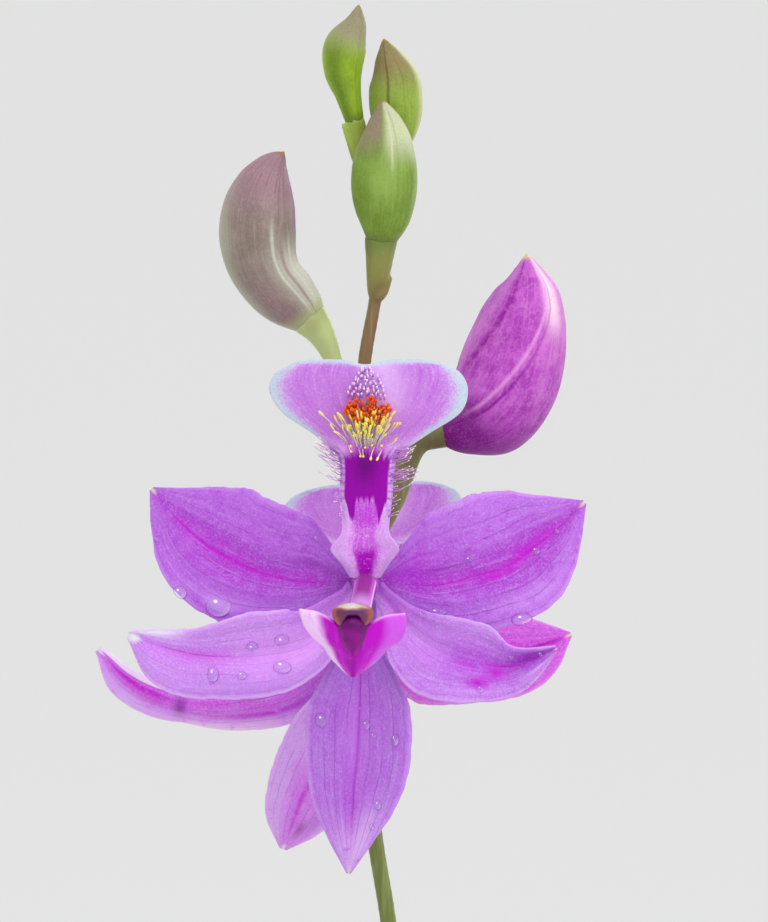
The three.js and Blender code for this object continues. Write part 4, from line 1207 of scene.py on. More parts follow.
def cap_finish(name):
    f = Finish(name, {"Roughness": 0.28, "Subsurface Weight": 0.15, "Subsurface Scale": 0.0006,
                      "Specular IOR Level": 0.5, "Coat Weight": 0.2, "Coat Roughness": 0.2})
    u, v = f.run()
    here = f.here()
    drift = f.noise(here, 900, 3)
    fine = f.noise(here, 4200, 2)
    up = u + (drift - 0.5) * 0.12
    colour = f.layers(
        hue(104, 24, 64),
        (hue(152, 70, 46), f.smooth(abs(v) + (drift - 0.5) * 0.2, 0.22, 0.34)),
        (hue(84, 0, 92), f.hill(v, 0, 0.34)),
        (hue(150, 92, 70), f.smooth(up, 0.58, 0.66)),
        # Painted highlight: a greyish-white top, with a yellow-green tint at one side.
        (hue(214, 206, 202), f.smooth(up, 0.63, 0.72) * f.hill(v, -0.04, 0.6) * 0.9),
        (hue(196, 184, 110), f.hill(v, -0.3, 0.2) * f.smooth(u, 0.68, 0.75) * 0.5),
        (hue(96, 30, 60), f.smooth(fine, 0.55, 0.7) * 0.3),
    )
    return f.done(colour, fine, 0.04)


for flower in FLOWERS:
    place = placer(flower)

    def on_cap(u, angle):
        ring, height = math.sin(math.pi * u), -math.cos(math.pi * u)
        x, ahead = ring * math.sin(angle), ring * math.cos(angle)
        lobe = 0.25 + 0.75 * ramp(abs(x), 0.2, 0.6)
        rise = height * (CAP_TOP if height > 0 else CAP_LOBES * lobe)
        reach = (CAP_REACH[0] * x, CAP_REACH[1] * ahead, rise)
        return place(*(middle + part for middle, part in zip(CAP_MIDDLE, reach)))

    bm = bmesh.new()
    add_tube(bm, on_cap, *CAP_STEPS)
    piece = piece_from(bm, f"{flower}_anther_cap_lobes")
    dress(piece, cap_finish(f"{flower} anther cap"), "anther_cap", f"{flower}_anther_cap")

# %% [markdown]
# ## Buds
#
# A closed bud is three sepals that meet edge to edge, so its section is a soft triangle with a
# seam down each ridge. The body is a tube along a bent path, measured by its middle and its radius
# at a few stations. A fine crease runs beside each ridge, where two sepals meet.

# %% The measures of the buds
BUDS = {
    "rose": {
        "seam": 0.04, "turn": (-0.6, 1.6, 0.65),
        "stations": [(4.4, 1.3, 260.8, 0.95), (6.3, 1.2, 261.2, 2.3), (8.6, 1, 262.6, 4.1),
                     (10.2, 0.8, 265.2, 4.7), (11.3, 0.7, 268.2, 4.6), (12.05, 0.6, 271.5, 3.95),
                     (12.4, 0.5, 274.1, 2.85), (12.35, 0.5, 276, 1.25), (12.2, 0.5, 277.35, 0.15)],
    },
    "blush": {
        "seam": 0.07, "turn": (0.42, 0, 1),
        "stations": [(-7.2, 0.9, 271.1, 1.5), (-8.2, 0.9, 272.2, 2.25), (-9.5, 0.9, 273.5, 2.8),
                     (-10.9, 0.8, 275.1, 3), (-11.7, 0.8, 276.9, 3.3), (-12, 0.8, 279.3, 3.5),
                     (-11.8, 0.8, 282, 3.2), (-11.3, 0.7, 284, 2.4), (-10.6, 0.7, 285.5, 1.35),
                     (-9.75, 0.7, 286.6, 0.15)],
    },
    "green_front": {
        "seam": 0.06, "turn": (0.3, 0, 1),
        "stations": [(-1, -1.8, 278.4, 1.25), (-0.7, -2, 280.6, 2.4), (-0.6, -2.1, 283, 2.95),
                     (-0.55, -2.1, 285.6, 2.88), (-0.5, -2.1, 287.9, 2.3),
                     (-0.65, -2.1, 289.8, 1.35), (-0.9, -2.1, 291.4, 0.12)],
    },
    "green_left": {
        "seam": 0.08, "turn": (0.5, 0, 1),
        "stations": [(-3.3, 1.6, 289, 0.8), (-3.9, 1.6, 291.7, 1.2), (-4.3, 1.6, 293.9, 1.75),
                     (-4.1, 1.6, 296.1, 1.92), (-3.3, 1.6, 298.2, 1.05), (-3, 1.6, 299.9, 0.12)],
    },
    "green_right": {
        "seam": 0.05, "turn": (0.2, 0, 1),
        "stations": [(0.35, 1.9, 286.85, 0.95), (0.45, 2, 288.1, 1.75), (0.45, 2, 289.7, 2.3),
                     (0.4, 2, 291.4, 2.42), (0.3, 2, 293.2, 2.2), (-0.25, 2, 295.1, 1.3),
                     (-0.75, 2, 296.8, 0.12)],
    },
}


# %% The body of a bud
BUD_STEPS = (90, 72)
TIP_ROUNDING = 40
FOOT_WIDTH, FOOT_ROUNDING = 0.86, 6
CREASE_PLACE, CREASE_WIDTH, CREASE_DEPTH = 0.3, 0.22, 0.018


def bud_body(name, stations, seam, turn):
    """A closed bud along its stations, (x, y, z, radius). turn is how far the seams are turned at
    the foot, how much more at the tip, and the most they turn."""
    path = Path([station[:3] for station in stations])
    last = len(stations) - 1
    marks = [path.marks[round(path.STEPS * i / last)] / path.length for i in range(last + 1)]
    radii = [station[3] for station in stations]
    start, more, most = turn

    def radius(u):
        i = max(0, min(sum(mark < u for mark in marks) - 1, last - 1))
        share = (i + (u - marks[i]) / (marks[i + 1] - marks[i])) / last
        tip = min(1, math.sqrt(max(0, (1 - u) * TIP_ROUNDING)))
        foot = min(1, FOOT_WIDTH + u * FOOT_ROUNDING) if u else 0
        return profile(radii)(share) * tip * foot

    def section(angle, u):
        phase = 3 * (angle + min(start + more * u, most))
        off_crease = math.remainder(phase + CREASE_PLACE, 2 * math.pi) / CREASE_WIDTH
        crease = CREASE_DEPTH * math.exp(-(off_crease**2))
        swell = math.sin(math.pi * u)
        return 1 + seam * swell * math.cos(phase) - crease * min(1, 3 * swell)

    bm = bmesh.new()
    add_stalk(bm, path, radius, *BUD_STEPS, section)
    return piece_from(bm, f"bud_{name}_sepals")


# %% [markdown]
# Every bud has a seam on each of its three ridges, fine veins that run from the stalk to the tip
# and a soft mottling. What differs is the hue, and the patches that the sun has reddened, so each
# bud adds a few coats of its own between the mottling and the seams. The rose bud's coats also
# hold painted shade in its grooves, on one side and partly beside its ridges, and a painted
# highlight along each ridge.


# %% Bud finish
def bud_finish(name, turn, base, light, dark, foot, tip, coats, seam=0.4, clouds=0.3):
    """coats(f, u, v, ridge) gives the bud's own (colour, share) pairs. ridge is the angle from a
    ridge, seam how dark the seams are and clouds how strong the mottling is."""
    f = Finish(name, {"Subsurface Weight": 0.25, "Subsurface Radius": (1, 0.6, 0.8),
                      "Subsurface Scale": 0.0012, "Roughness": 0.42, "Specular IOR Level": 0.14})
    u, v = f.run()
    here = f.here()
    start, more, most = turn
    ridge = v * math.pi + f.sum("MINIMUM", u * more + start, most)
    drift = f.noise(here, 420, 4, 0.62)
    fibres = f.noise(f.vector(u * 4, v * 34), 1, 4, 0.65)
    speckle = f.noise(here, 4600, 2, 0.8)
    seams = f.hill(f.nearest(ridge * 3 / (2 * math.pi) + 0.04), 0, 0.025)
    colour = f.layers(
        base,
        (light, f.smooth(drift, 0.45, 0.64) * clouds),
        (dark, f.smooth(drift, 0.52, 0.34) * clouds),
        (light, f.smooth(fibres, 0.5, 0.66) * 0.45),
        (dark, f.smooth(fibres, 0.47, 0.34) * 0.3),
        *coats(f, u, v, ridge),
        (foot, f.fade(u, 0.01, 0.12)),
        (dark, seams * seam),
        (tip, f.smooth(u + (fibres - 0.5) * 0.04, 0.965, 0.99)),
        (light, f.smooth(speckle, 0.52, 0.68) * 0.3),
        (dark, f.smooth(speckle, 0.46, 0.34) * 0.25),
    )
    return f.done(colour, fibres - seams * 0.6 + drift * 1.2 + f.cells(here, 5200) * -0.4, 0.06)


# %% Coats of the two coloured buds
def rose_coats(f, u, v, ridge):
    veins = f.noise(f.here(), 700, 4, 0.6)
    top = f.smooth(u, 0.5, 0.78)
    return [
        # Painted shade in the groove between two ridges.
        (hue(140, 10, 148), f.hill(ridge, 1.05, 0.16) * f.smooth(u, 0.3, 0.5) * 0.9),
        (hue(206, 140, 212), f.hill(ridge, 1.5, 0.4) * f.smooth(u, 0.3, 0.5) * 0.5),
        (hue(124, 0, 128), f.fade(u + (veins - 0.5) * 0.2, 0.1, 0.34) * 0.85),
        # Painted shade: darker on one side, low down.
        (hue(124, 0, 128), f.smooth(v * -1, 0.1, 0.4) * f.fade(u, 0.2, 0.5) * 0.6),
        (hue(206, 130, 206), f.hill(veins, 0.5, 0.06) * f.smooth(u, 0.2, 0.4) * 0.3),
        (hue(226, 150, 214), top * f.hill(v, -0.34, 0.3) * 0.5),
        (hue(244, 212, 226), f.smooth(u, 0.6, 0.8) * f.hill(v, -0.26, 0.13) * 0.95),
        # Painted highlight along each ridge.
        (hue(224, 156, 220), f.hill(ridge, 0.07, 0.08) * f.smooth(u, 0.1, 0.3) * 0.7),
        # Darker beside each ridge: partly the dark joint of the sepals, partly painted shade under
        # the ridge.
        (hue(134, 10, 140), f.hill(ridge, -0.09, 0.06) * f.fade(u, 0.4, 0.6) * 0.8),
    ]


def blush_coats(f, u, v, ridge):
    return [
        (hue(196, 198, 182), f.hill(v, -0.25, 0.36) * f.fade(u, 0.3, 0.62) * 0.9),
        (hue(172, 176, 156), f.smooth(v, 0.22, 0.46) * f.fade(u, 0.7, 0.9) * 0.75),
        (hue(152, 122, 128), f.hill(v, 0.14, 0.3) * f.fade(u, 0.25, 0.5) * 0.5),
        (hue(158, 118, 138), f.smooth(u, 0.5, 0.9) * 0.75),
        (hue(146, 30, 146), f.hill(v, -0.44, 0.1) * f.smooth(u, 0.52, 0.62) * 0.85),
        (hue(206, 210, 196), f.hill(ridge, 0.12, 0.07) * f.fade(u, 0.5, 0.7) * 0.7),
        (hue(132, 84, 92), f.hill(ridge, -0.12, 0.1) * f.fade(u, 0.4, 0.6) * 0.5),
        (hue(206, 210, 196), f.hill(ridge, -0.4, 0.08) * f.fade(u, 0.4, 0.6) * 0.6),
        (hue(120, 70, 96), f.hill(f.nearest(v * 9), 0, 0.1) * f.smooth(u, 0.72, 0.86) * 0.5),
    ]


# %% Coats of the three green buds
def green_front_coats(f, u, v, ridge):
    return [
        (hue(150, 176, 92), f.hill(v, 0, 0.35) * f.hill(u, 0.45, 0.3) * 0.7),
        (hue(146, 116, 114), f.smooth(u, 0.54, 0.8) * f.smooth(v, 0.0, 0.1) * 0.8),
        (hue(200, 202, 172), f.smooth(u, 0.5, 0.76) * f.smooth(v * -1, -0.08, 0.06) * 0.85),
        (hue(150, 170, 100), f.smooth(v * -1, 0.3, 0.45) * 0.5),
        (hue(202, 206, 168), f.hill(ridge, 0.1, 0.08) * f.smooth(u, 0.45, 0.6) * 0.6),
    ]


def green_left_coats(f, u, v, ridge):
    return [
        (hue(84, 112, 20), f.hill(v, 0.2, 0.3) * f.fade(u, 0.55, 0.75) * 0.7),
        (hue(176, 196, 96), f.smooth(abs(v - 0.05), 0.3, 0.44) * 0.5),
        (hue(146, 128, 122), f.smooth(u, 0.52, 0.8) * 0.8),
    ]


def green_right_coats(f, u, v, ridge):
    return [
        (hue(138, 104, 90), f.smooth(u, 0.42, 0.8) * 0.75),
        (hue(196, 196, 144), f.smooth(v * -1, 0.26, 0.42) * 0.75),
        (hue(90, 74, 40), f.hill(v, 0.1, 0.035) * f.smooth(u, 0.25, 0.4) * 0.7),
    ]


# %% What makes each bud different
GREEN_BUD = {"base": hue(120, 150, 46), "light": hue(146, 174, 78), "dark": hue(96, 120, 30),
             "foot": hue(108, 122, 56), "tip": hue(164, 120, 72), "seam": 0.2}
BUD_LOOKS = {
    "rose": {"base": hue(176, 72, 184), "light": hue(206, 118, 208), "dark": hue(142, 24, 150),
             "foot": hue(118, 10, 112), "tip": hue(214, 200, 140), "clouds": 0.5,
             "coats": rose_coats},
    "blush": {"base": hue(134, 120, 110), "light": hue(166, 158, 146), "dark": hue(114, 98, 92),
              "foot": hue(172, 180, 124), "tip": hue(150, 110, 60), "seam": 0.15,
              "coats": blush_coats},
    "green_front": {**GREEN_BUD, "base": hue(108, 138, 44), "coats": green_front_coats},
    "green_left": {**GREEN_BUD, "base": hue(146, 178, 44), "coats": green_left_coats},
    "green_right": {**GREEN_BUD, "base": hue(142, 164, 64), "coats": green_right_coats},
}

# %% Five buds
for name, shape in BUDS.items():
    piece = bud_body(name, **shape)
    finish = bud_finish(f"bud {name}", shape["turn"], **BUD_LOOKS[name])
    slot = "bud_green" if name.startswith("green") else f"bud_{name}"
    dress(piece, finish, slot, f"bud_{name}")

# %% [markdown]
# ## The scape
#
# The stem, the flower stalks with their ribbed ovaries and the bracts grow into each other without
# a seam. They are made as separate tubes first. A voxel remesh then fuses them into one skin, and
# a few rounds of smoothing turn the crotches into soft fillets. The remesh drops the run map, so
# the finish reads the height instead.

# %% The measures of the scape
STEM_PATH = [
    (0, 0, 57.5), (0, 0, 81), (0, 0, 94), (0.9, 0.3, 112), (2.5, 0.4, 146), (2.8, 0.2, 178),
    (1.4, 0, 203), (-0.4, 0, 217), (-1.6, 0, 224.6), (-2.6, 0.2, 236), (-3.1, 0.3, 248),
    (-3.2, 0.2, 257), (-2.5, 0, 267.4), (-1.4, 0.2, 274.2), (-1.3, 1.2, 279), (-1.9, 1.6, 285.6),
]
STEM_RADII = [1.3, 1.25, 1.1, 1, 0.9, 0.8, 0.75, 0.75, 0.75, 0.7, 0.65, 0.5]
OVARY_RADII = [0.7, 0.85, 1.25, 1.45, 1.15]
STALKS = [
    ([(-2.9, 0.2, 239.2), (-3, -2.2, 242.1), (-2.7, -5.2, 246.3), (-2.4, -7.4, 247.8),
      (-2.4, -9.9, 247.9)], OVARY_RADII),
    ([(-2.3, 0.1, 232.5), (-2.4, 2.3, 235.6), (-2.6, 5.2, 239.9), (-2.7, 7.4, 241.7),
      (-2.7, 9.9, 241.8)], OVARY_RADII),
    ([(-3.1, 0.3, 248), (-1.2, 0.9, 251.2), (0.2, 1.2, 254.8), (1.3, 1.3, 258.6),
      (2.6, 1.3, 260.3), (3.9, 1.3, 260.7), (4.9, 1.3, 260.9)],
     [0.6, 0.6, 0.65, 1.05, 1.3, 1.15, 1.28]),
    ([(-3.1, 0.1, 260.5), (-4.2, 0.4, 264.6), (-5.5, 0.6, 268.1), (-6.3, 0.7, 269.8),
      (-6.9, 0.8, 270.7), (-7.6, 0.85, 271.5)], [0.6, 0.62, 0.68, 0.8, 1.2, 1.8]),
    ([(-1.5, 0.1, 273.6), (-1.25, -1, 275.6), (-1.05, -1.7, 277.9), (-0.95, -1.85, 278.9)],
     [0.75, 1.05, 1.26, 1.5]),
    ([(-1.9, 1.5, 284.4), (-2.6, 1.6, 286.6), (-3.1, 1.6, 288.5), (-3.4, 1.6, 289.5)],
     [0.5, 0.6, 0.8, 0.92]),
    ([(-1.9, 1.5, 284.4), (-0.6, 1.8, 284.9), (0.1, 1.9, 285.6), (0.3, 1.9, 286.4),
      (0.4, 1.95, 287.3)], [0.5, 0.55, 0.7, 0.88, 1.22]),
]
BRACTS = [
    [(-2.2, 0.6, 231.6), (-0.8, 1.4, 236.8)], [(-3.2, -0.3, 238.2), (-4.4, -0.6, 243.2)],
    [(-2.7, 0.8, 247.6), (-1.3, 2.2, 251.6)], [(-3.4, 0.2, 259.6), (-5, 0.4, 264.4)],
    [(-1.3, -0.3, 273.2), (0, -0.7, 275.3)], [(-2.3, 1, 284), (-4.55, 0.95, 289.2)],
]

# %% Build and fuse the scape
STEM_STEPS, STALK_STEPS, BRACT_STEPS = (240, 20), (40, 24), (16, 14)
BRACT_RADII = [0.65, 0.78, 0.52, 0.2]
RIBS, RIB_HEIGHT = 6, 0.035
FUSE = 0.175
SMOOTHINGS = 5


def add_bract(bm, root, tip):
    root, tip = Vector(root), Vector(tip)
    middle = (root + tip) / 2 + Vector((0, 0.1, 0))
    flat = lambda angle, u: 0.6 + 0.4 * abs(math.cos(angle))
    add_stalk(bm, Path([root, middle, tip]), profile(BRACT_RADII), *BRACT_STEPS, flat)


def ribbed(angle, u):
    """The ribs of an ovary, on the upper part of its stalk."""
    return 1 + RIB_HEIGHT * ramp(u, 0.35, 0.6) * math.cos(RIBS * angle)


bm = bmesh.new()
add_stalk(bm, Path(STEM_PATH), profile(STEM_RADII), *STEM_STEPS)
for points, radii in STALKS:
    add_stalk(bm, Path(points), profile(radii), *STALK_STEPS, ribbed)
for root, tip in BRACTS:
    add_bract(bm, root, tip)
bmesh.ops.remove_doubles(bm, verts=bm.verts, dist=MERGE)
bmesh.ops.holes_fill(bm, edges=[edge for edge in bm.edges if edge.is_boundary], sides=0)
rough = piece_from(bm, "scape_rough")
skin = rough.modifiers.new("skin", "REMESH")
skin.mode = "VOXEL"
skin.voxel_size = FUSE * MM
fused = bpy.data.meshes.new_from_object(rough.evaluated_get(bpy.context.evaluated_depsgraph_get()))
bpy.data.objects.remove(rough)

bm = bmesh.new()
bm.from_mesh(fused)
for _ in range(SMOOTHINGS):
    bmesh.ops.smooth_vert(bm, verts=bm.verts, factor=0.5, use_axis_x=True, use_axis_y=True,
                          use_axis_z=True)
for face in bm.faces:
    face.smooth = True
scape = piece_from(bm, "scape_skin")

# %% [markdown]
# The stem is green low down, olive at the flowers, brownish above them and yellow-green again
# under the top buds, with fine lengthwise fibres. The ovary behind an open flower is flushed with
# the flower's own colour.


# %% Scape finish
def scape_finish(name):
    f = Finish(name, {"Roughness": 0.42, "Subsurface Weight": 0.15, "Subsurface Scale": 0.001,
                      "Specular IOR Level": 0.4})
    here = f.here()
    x, y, z = (f.axis(k) for k in range(3))
    fibres = f.noise(f.vector(x * 2600, y * 2600, z * 130), 1, 3)
    drift = f.noise(here, 170, 2)
    flush = f.smooth(abs(y), 0.0066, 0.0088)
    to_blush = f.smooth(x * -1, 0.0036, 0.0048) * f.smooth(z, 0.262, 0.266)
    to_rose = f.smooth(x, 0.0005, 0.0015) * f.smooth(z, 0.256, 0.258) * f.fade(z, 0.266, 0.27)
    colour = f.layers(
        hue(102, 116, 48),
        (hue(130, 140, 78), f.smooth(fibres, 0.42, 0.62) * 0.7),
        (hue(138, 132, 84), f.smooth(z, 0.225, 0.25) * 0.6),
        (hue(128, 92, 62), f.smooth(z, 0.255, 0.268) * 0.75),
        (hue(136, 138, 66), f.smooth(z, 0.272, 0.276)),
        (hue(106, 126, 50), f.smooth(z, 0.2765, 0.2788)),
        (hue(176, 192, 124), to_blush),
        (hue(92, 92, 44), to_rose * 0.7),
        (hue(150, 174, 66), f.smooth(x * -1, 0.0019, 0.0026) * f.smooth(z, 0.2835, 0.2855)),
        (hue(108, 84, 52), f.smooth(drift, 0.5, 0.72) * 0.4),
        (hue(176, 178, 128), f.smooth(fibres, 0.6, 0.75) * 0.3),
        (hue(196, 84, 206), flush),
    )
    return f.done(colour, fibres, 0.07)


dress(scape, scape_finish("scape"), "stem", "scape")

# %% [markdown]
# ## Leaves and sheath
#
# Two grass-like leaves clasp the foot of the stem, open out and arch away. They are pleated along
# their veins. A dry brown sheath wraps the shoot where it leaves the soil.

# %% The formula of a leaf
CLASP_RADIUS, CLASP_ANGLE, OPENING = 1.95, 1.15, 0.25
SHOOT_FOOT = 57.5
LEAVES = {
    "long": {"heading": 150, "height": 206, "reach": 40, "half": 4.6, "droop": 0.5, "opens": 0.24},
    "short": {"heading": -30, "height": 160, "reach": 36, "half": 3.4, "droop": 0.6, "opens": 0.31},
}
LEAF_STEPS, SHEATH_STEPS = (200, 60), (50, 110)


def leaf_surface(heading, height, reach, half, droop, opens):
    """surface(u, v) of a leaf. heading is in degrees. Up to the share opens it clasps the stem, and
    from there it opens out to its full width, twice half, and leans out as far as reach."""
    turn = math.radians(heading)
    foot = SHOOT_FOOT + 2

    def surface(u, v):
        opened = ramp(u, opens, opens + OPENING)
        lift = foot + (height - foot) * (u - droop * max(0, u - 0.7) ** 2)
        away = CLASP_RADIUS + 0.35 * opened + 1.8 * reach * max(0, u - opens) ** 1.7
        taper = math.cos(math.pi / 2 * min(1, max(0, (u - 0.45) / 0.56))) ** 0.8
        pleat = 0.25 * math.cos(v * math.pi * 3) + 0.05 * math.cos(v * math.pi * 15)
        flat_side = v * max(half * taper, 0.35 * (1.3 - u))
        flat_out = away - 0.16 * half * v * v - pleat * opened
        clasp_side = CLASP_RADIUS * math.sin(v * CLASP_ANGLE)
        clasp_out = CLASP_RADIUS * math.cos(v * CLASP_ANGLE) + away - CLASP_RADIUS
        side = between(clasp_side, flat_side, opened)
        out = between(clasp_out, flat_out, opened)
        return Vector((out * math.cos(turn) - side * math.sin(turn),
                       out * math.sin(turn) + side * math.cos(turn), lift))

    return surface


# %% Leaf finish
def leaf_finish(name):
    f = Finish(name, {"Roughness": 0.45, "Subsurface Weight": 0.2, "Subsurface Scale": 0.0008,
                      "Specular IOR Level": 0.45})
    u, v = f.run()
    here = f.here()
    drift = f.noise(here, 90, 3)
    fibres = f.noise(f.vector(u * 6, v * 30), 1, 3, 0.6)
    veins = f.hill(f.nearest(v * 9 + (drift - 0.5) * 0.2), 0, 0.2)
    colour = f.layers(
        hue(78, 118, 38),
        (hue(116, 152, 62), f.smooth(fibres, 0.42, 0.66)),
        (hue(142, 170, 86), veins * 0.45),
        (hue(60, 92, 32), f.smooth(drift, 0.5, 0.7) * 0.5),
        (hue(176, 182, 126), f.fade(u, 0.02, 0.24) * 0.8),
        (hue(150, 160, 70), f.smooth(abs(v), 0.93, 1) * 0.6),
        (hue(150, 112, 60), f.smooth(u + (drift - 0.5) * 0.05, 0.955, 0.985)),
    )
    return f.done(colour, fibres + veins * 0.8, 0.08)


for name, shape in LEAVES.items():
    piece = blade(f"leaf_{name}_blade", leaf_surface(**shape), *LEAF_STEPS, margin=0.45)
    dress(piece, leaf_finish(f"leaf {name}"), "leaf", f"leaf_{name}")


# %% The sheath
SHEATH_HALF_TURN, SHEATH_FACES = 2.7, 0.6
SHEATH_TOP, SHEATH_SLOPE = 90, 5


def sheath_surface(u, v):
    arc = v * SHEATH_HALF_TURN + SHEATH_FACES
    top = SHEATH_TOP - SHEATH_SLOPE * v * v + 0.35 * math.sin(17 * v) * math.sin(5 * v)
    flare = CLASP_RADIUS + 1 + 0.3 * u * u + 0.04 * math.sin(40 * arc)
    foot = SHOOT_FOOT + 1
    return Vector((flare * math.cos(arc), flare * math.sin(arc), foot + (top - foot) * u))


def sheath_finish(name):
    f = Finish(name, {"Roughness": 0.7, "Specular IOR Level": 0.3})
    u, v = f.run()
    fibres = f.noise(f.vector(u * 3, v * 46), 1, 4, 0.6)
    blotch = f.noise(f.here(), 320, 3)
    colour = f.layers(
        hue(138, 108, 70),
        (hue(184, 156, 112), f.smooth(fibres, 0.45, 0.65)),
        (hue(88, 62, 40), f.smooth(blotch, 0.5, 0.68) * 0.7),
        (hue(96, 70, 46), f.smooth(u, 0.9, 1) * 0.7),
    )
    return f.done(colour, fibres, 0.12)


sheath = blade("basal_sheath_wrap", sheath_surface, *SHEATH_STEPS, 0.45, 0.5)
dress(sheath, sheath_finish("sheath"), "sheath", "basal_sheath")

# %% [markdown]
# ## The pot
#
# The pot is thrown or pressed terracotta. Its section is drawn once, from the drain hole out and
# round, and spun about the upright axis. The corners of the section are rounded first, so that
# the rim catches the light.

# %% The pot's section
POT_OUTLINE = [
    (6, 0, 0.5), (34, 0, 1.6), (45.28, 69.3, 1.2), (50.8, 70, 1.4), (52, 90, 1.8),
    (45, 90, 1.6), (30.47, 6, 3), (6, 6, 0.6),
]
SPIN_STEPS = 144
POT_FOOT = 2


def rounded_outline(corners, steps=5):
    """The closed outline with an arc of its own radius at each (r, z, radius) corner."""
    made = []
    for i, (r, z, radius) in enumerate(corners):
        here = Vector((r, z))
        back = (Vector(corners[i - 1][:2]) - here).normalized()
        ahead = (Vector(corners[(i + 1) % len(corners)][:2]) - here).normalized()
        for k in range(steps + 1):
            t = k / steps
            start, end = here + back * radius, here + ahead * radius
            made.append(start * (1 - t) ** 2 + here * 2 * t * (1 - t) + end * t**2)
    return made


def split_long(points, longest=3):
    """The outline with extra points where a straight run is long."""
    made = []
    for a, b in zip(points, points[1:] + points[:1]):
        count = max(1, math.ceil((b - a).length / longest))
        made += [a.lerp(b, k / count) for k in range(count)]
    return made


def spun(outline):
    """The outline in mm, (r, z), spun about the upright axis."""
    bm = bmesh.new()
    corners = [bm.verts.new((r * MM, 0, z * MM)) for r, z in outline]
    edges = [bm.edges.new(pair) for pair in zip(corners, corners[1:])]
    bmesh.ops.spin(bm, geom=corners + edges, cent=(0, 0, 0), axis=(0, 0, 1), angle=2 * math.pi,
                   steps=SPIN_STEPS, use_merge=True)
    for face in bm.faces:
        face.smooth = True
    return bm


# %% The pot's body
outline = split_long(rounded_outline(POT_OUTLINE))
bm = spun(outline + outline[:1])
for corner in bm.verts:
    if corner.co.z > POT_FOOT * MM:
        uneven = 0.12 * noise.noise(corner.co * 45) + 0.05 * noise.noise(corner.co * 160)
        corner.co += Vector((corner.co.x, corner.co.y, 0)).normalized() * uneven * MM
pot = piece_from(bm, "pot_body")

# %% [markdown]
# Terracotta is matt and slightly mottled. Fine rings run round it from the wheel, grit shows as
# darker and lighter specks, and salts leave a pale bloom low on the wall and along the rim.


# %% Clay finish
def clay_finish(name):
    f = Finish(name, {"Roughness": 0.85, "Specular IOR Level": 0.25})
    here = f.here()
    z = f.axis(2)
    clouds = f.noise(here, 38, 4, 0.6)
    grit = f.noise(here, 1500, 2)
    specks = f.cells(here, 900)
    turning = f.noise(f.vector(1.3, z * 700), 1, 2)
    bloom = f.smooth(clouds + f.fade(z, 0.0, 0.035) * 0.16, 0.56, 0.74)
    colour = f.layers(
        hue(190, 108, 74),
        (hue(168, 88, 58), f.smooth(clouds, 0.52, 0.36) * 0.7),
        (hue(206, 130, 96), f.smooth(turning, 0.5, 0.7) * 0.35),
        (hue(214, 164, 136), bloom * 0.3),
        (hue(140, 74, 50), f.smooth(specks, 0.16, 0.05) * 0.6),
        (hue(222, 160, 126), f.smooth(grit, 0.6, 0.75) * 0.4),
        (hue(150, 82, 56), f.hill(z, 0.0775, 0.006) * 0.25),
    )
    return f.done(colour, grit * 0.6 + turning * 0.8 + clouds * 0.5, 0.12)


dress(pot, clay_finish("terracotta"), "clay", "pot")

# %% [markdown]
# ## The potting mix
#
# A peat and sand mix fills the pot and heaps up a little at the shoot. The body is spun like the
# pot and its top is roughened with noise. Over it lie loose crumbs of peat, bits of bark and
# grains of sand, each a small ball of twenty faces pushed out of shape.

# %% The body of the mix
SOIL_TOP, SOIL_MOUND, SOIL_EDGE = 79, 2.2, 42.6
SOIL_FOOT = [(0.0, 6.3), (26.87, 6.3), (29.87, 9.3)]
SHOOT_HOLE, HOLE_FLOOR = 3.7, 57.3
TOP_STEPS = 60


def soil_height(r):
    return SOIL_TOP + SOIL_MOUND * (1 - (r / SOIL_EDGE) ** 2)


def crumbling(x, y):
    """How far the top of the mix stands up at a place, in mm. At the pot's wall it is level."""
    spot = Vector((x, y, 0))
    lumps = 0.7 * noise.noise(spot * 0.3) + 0.5 * noise.noise(spot * 0.9)
    return (lumps + 0.3 * noise.noise(spot * 2.6)) * ramp(SOIL_EDGE - spot.length, -0.5, 2)


outline = [*SOIL_FOOT, (SOIL_EDGE, SOIL_TOP - 0.3)]
for k in range(TOP_STEPS, -1, -1):
    outward = SHOOT_HOLE + (SOIL_EDGE - SHOOT_HOLE) * k / TOP_STEPS
    outline.append((outward, soil_height(SOIL_EDGE * k / TOP_STEPS)))
outline += [(SHOOT_HOLE, HOLE_FLOOR), (0.0, HOLE_FLOOR)]
bm = spun(outline)
for corner in bm.verts:
    x, y, z = corner.co / MM
    if z > SOIL_TOP - 0.1 and math.hypot(x, y) > SHOOT_HOLE + 0.2:
        corner.co.z += crumbling(x, y) * MM
mix = piece_from(bm, "potting_mix_body")


# %% Soil finish
def soil_finish(name, dark, mid, light):
    f = Finish(name, {"Roughness": 0.95, "Specular IOR Level": 0.15})
    here = f.here()
    crumbs = f.noise(here, 900, 4, 0.7)
    patches = f.noise(here, 130, 3)
    colour = f.layers(
        dark,
        (mid, f.smooth(crumbs, 0.42, 0.62)),
        (light, f.smooth(crumbs, 0.62, 0.78) * f.smooth(patches, 0.4, 0.6)),
    )
    return f.done(colour, crumbs + patches * 0.5, 0.5)


peat = soil_finish("peat", hue(38, 27, 20), hue(66, 47, 34), hue(112, 88, 62))
dress(mix, peat, "peat", "potting_mix")

# %% [markdown]
# Crumbs are scattered by a seeded draw, a little denser towards the shoot. A crumb lies partly
# sunk in the surface, so that none of them floats.


# %% Crumbs and grains
def pattern(bm):
    """A mesh kept to be copied many times."""
    mesh = bpy.data.meshes.new("pattern")
    bm.to_mesh(mesh)
    bm.free()
    return mesh


def add_copy(bm, mesh):
    """Adds a copy of a pattern to bm and returns its corners."""
    before = len(bm.verts)
    bm.from_mesh(mesh)
    bm.verts.ensure_lookup_table()
    return bm.verts[before:]


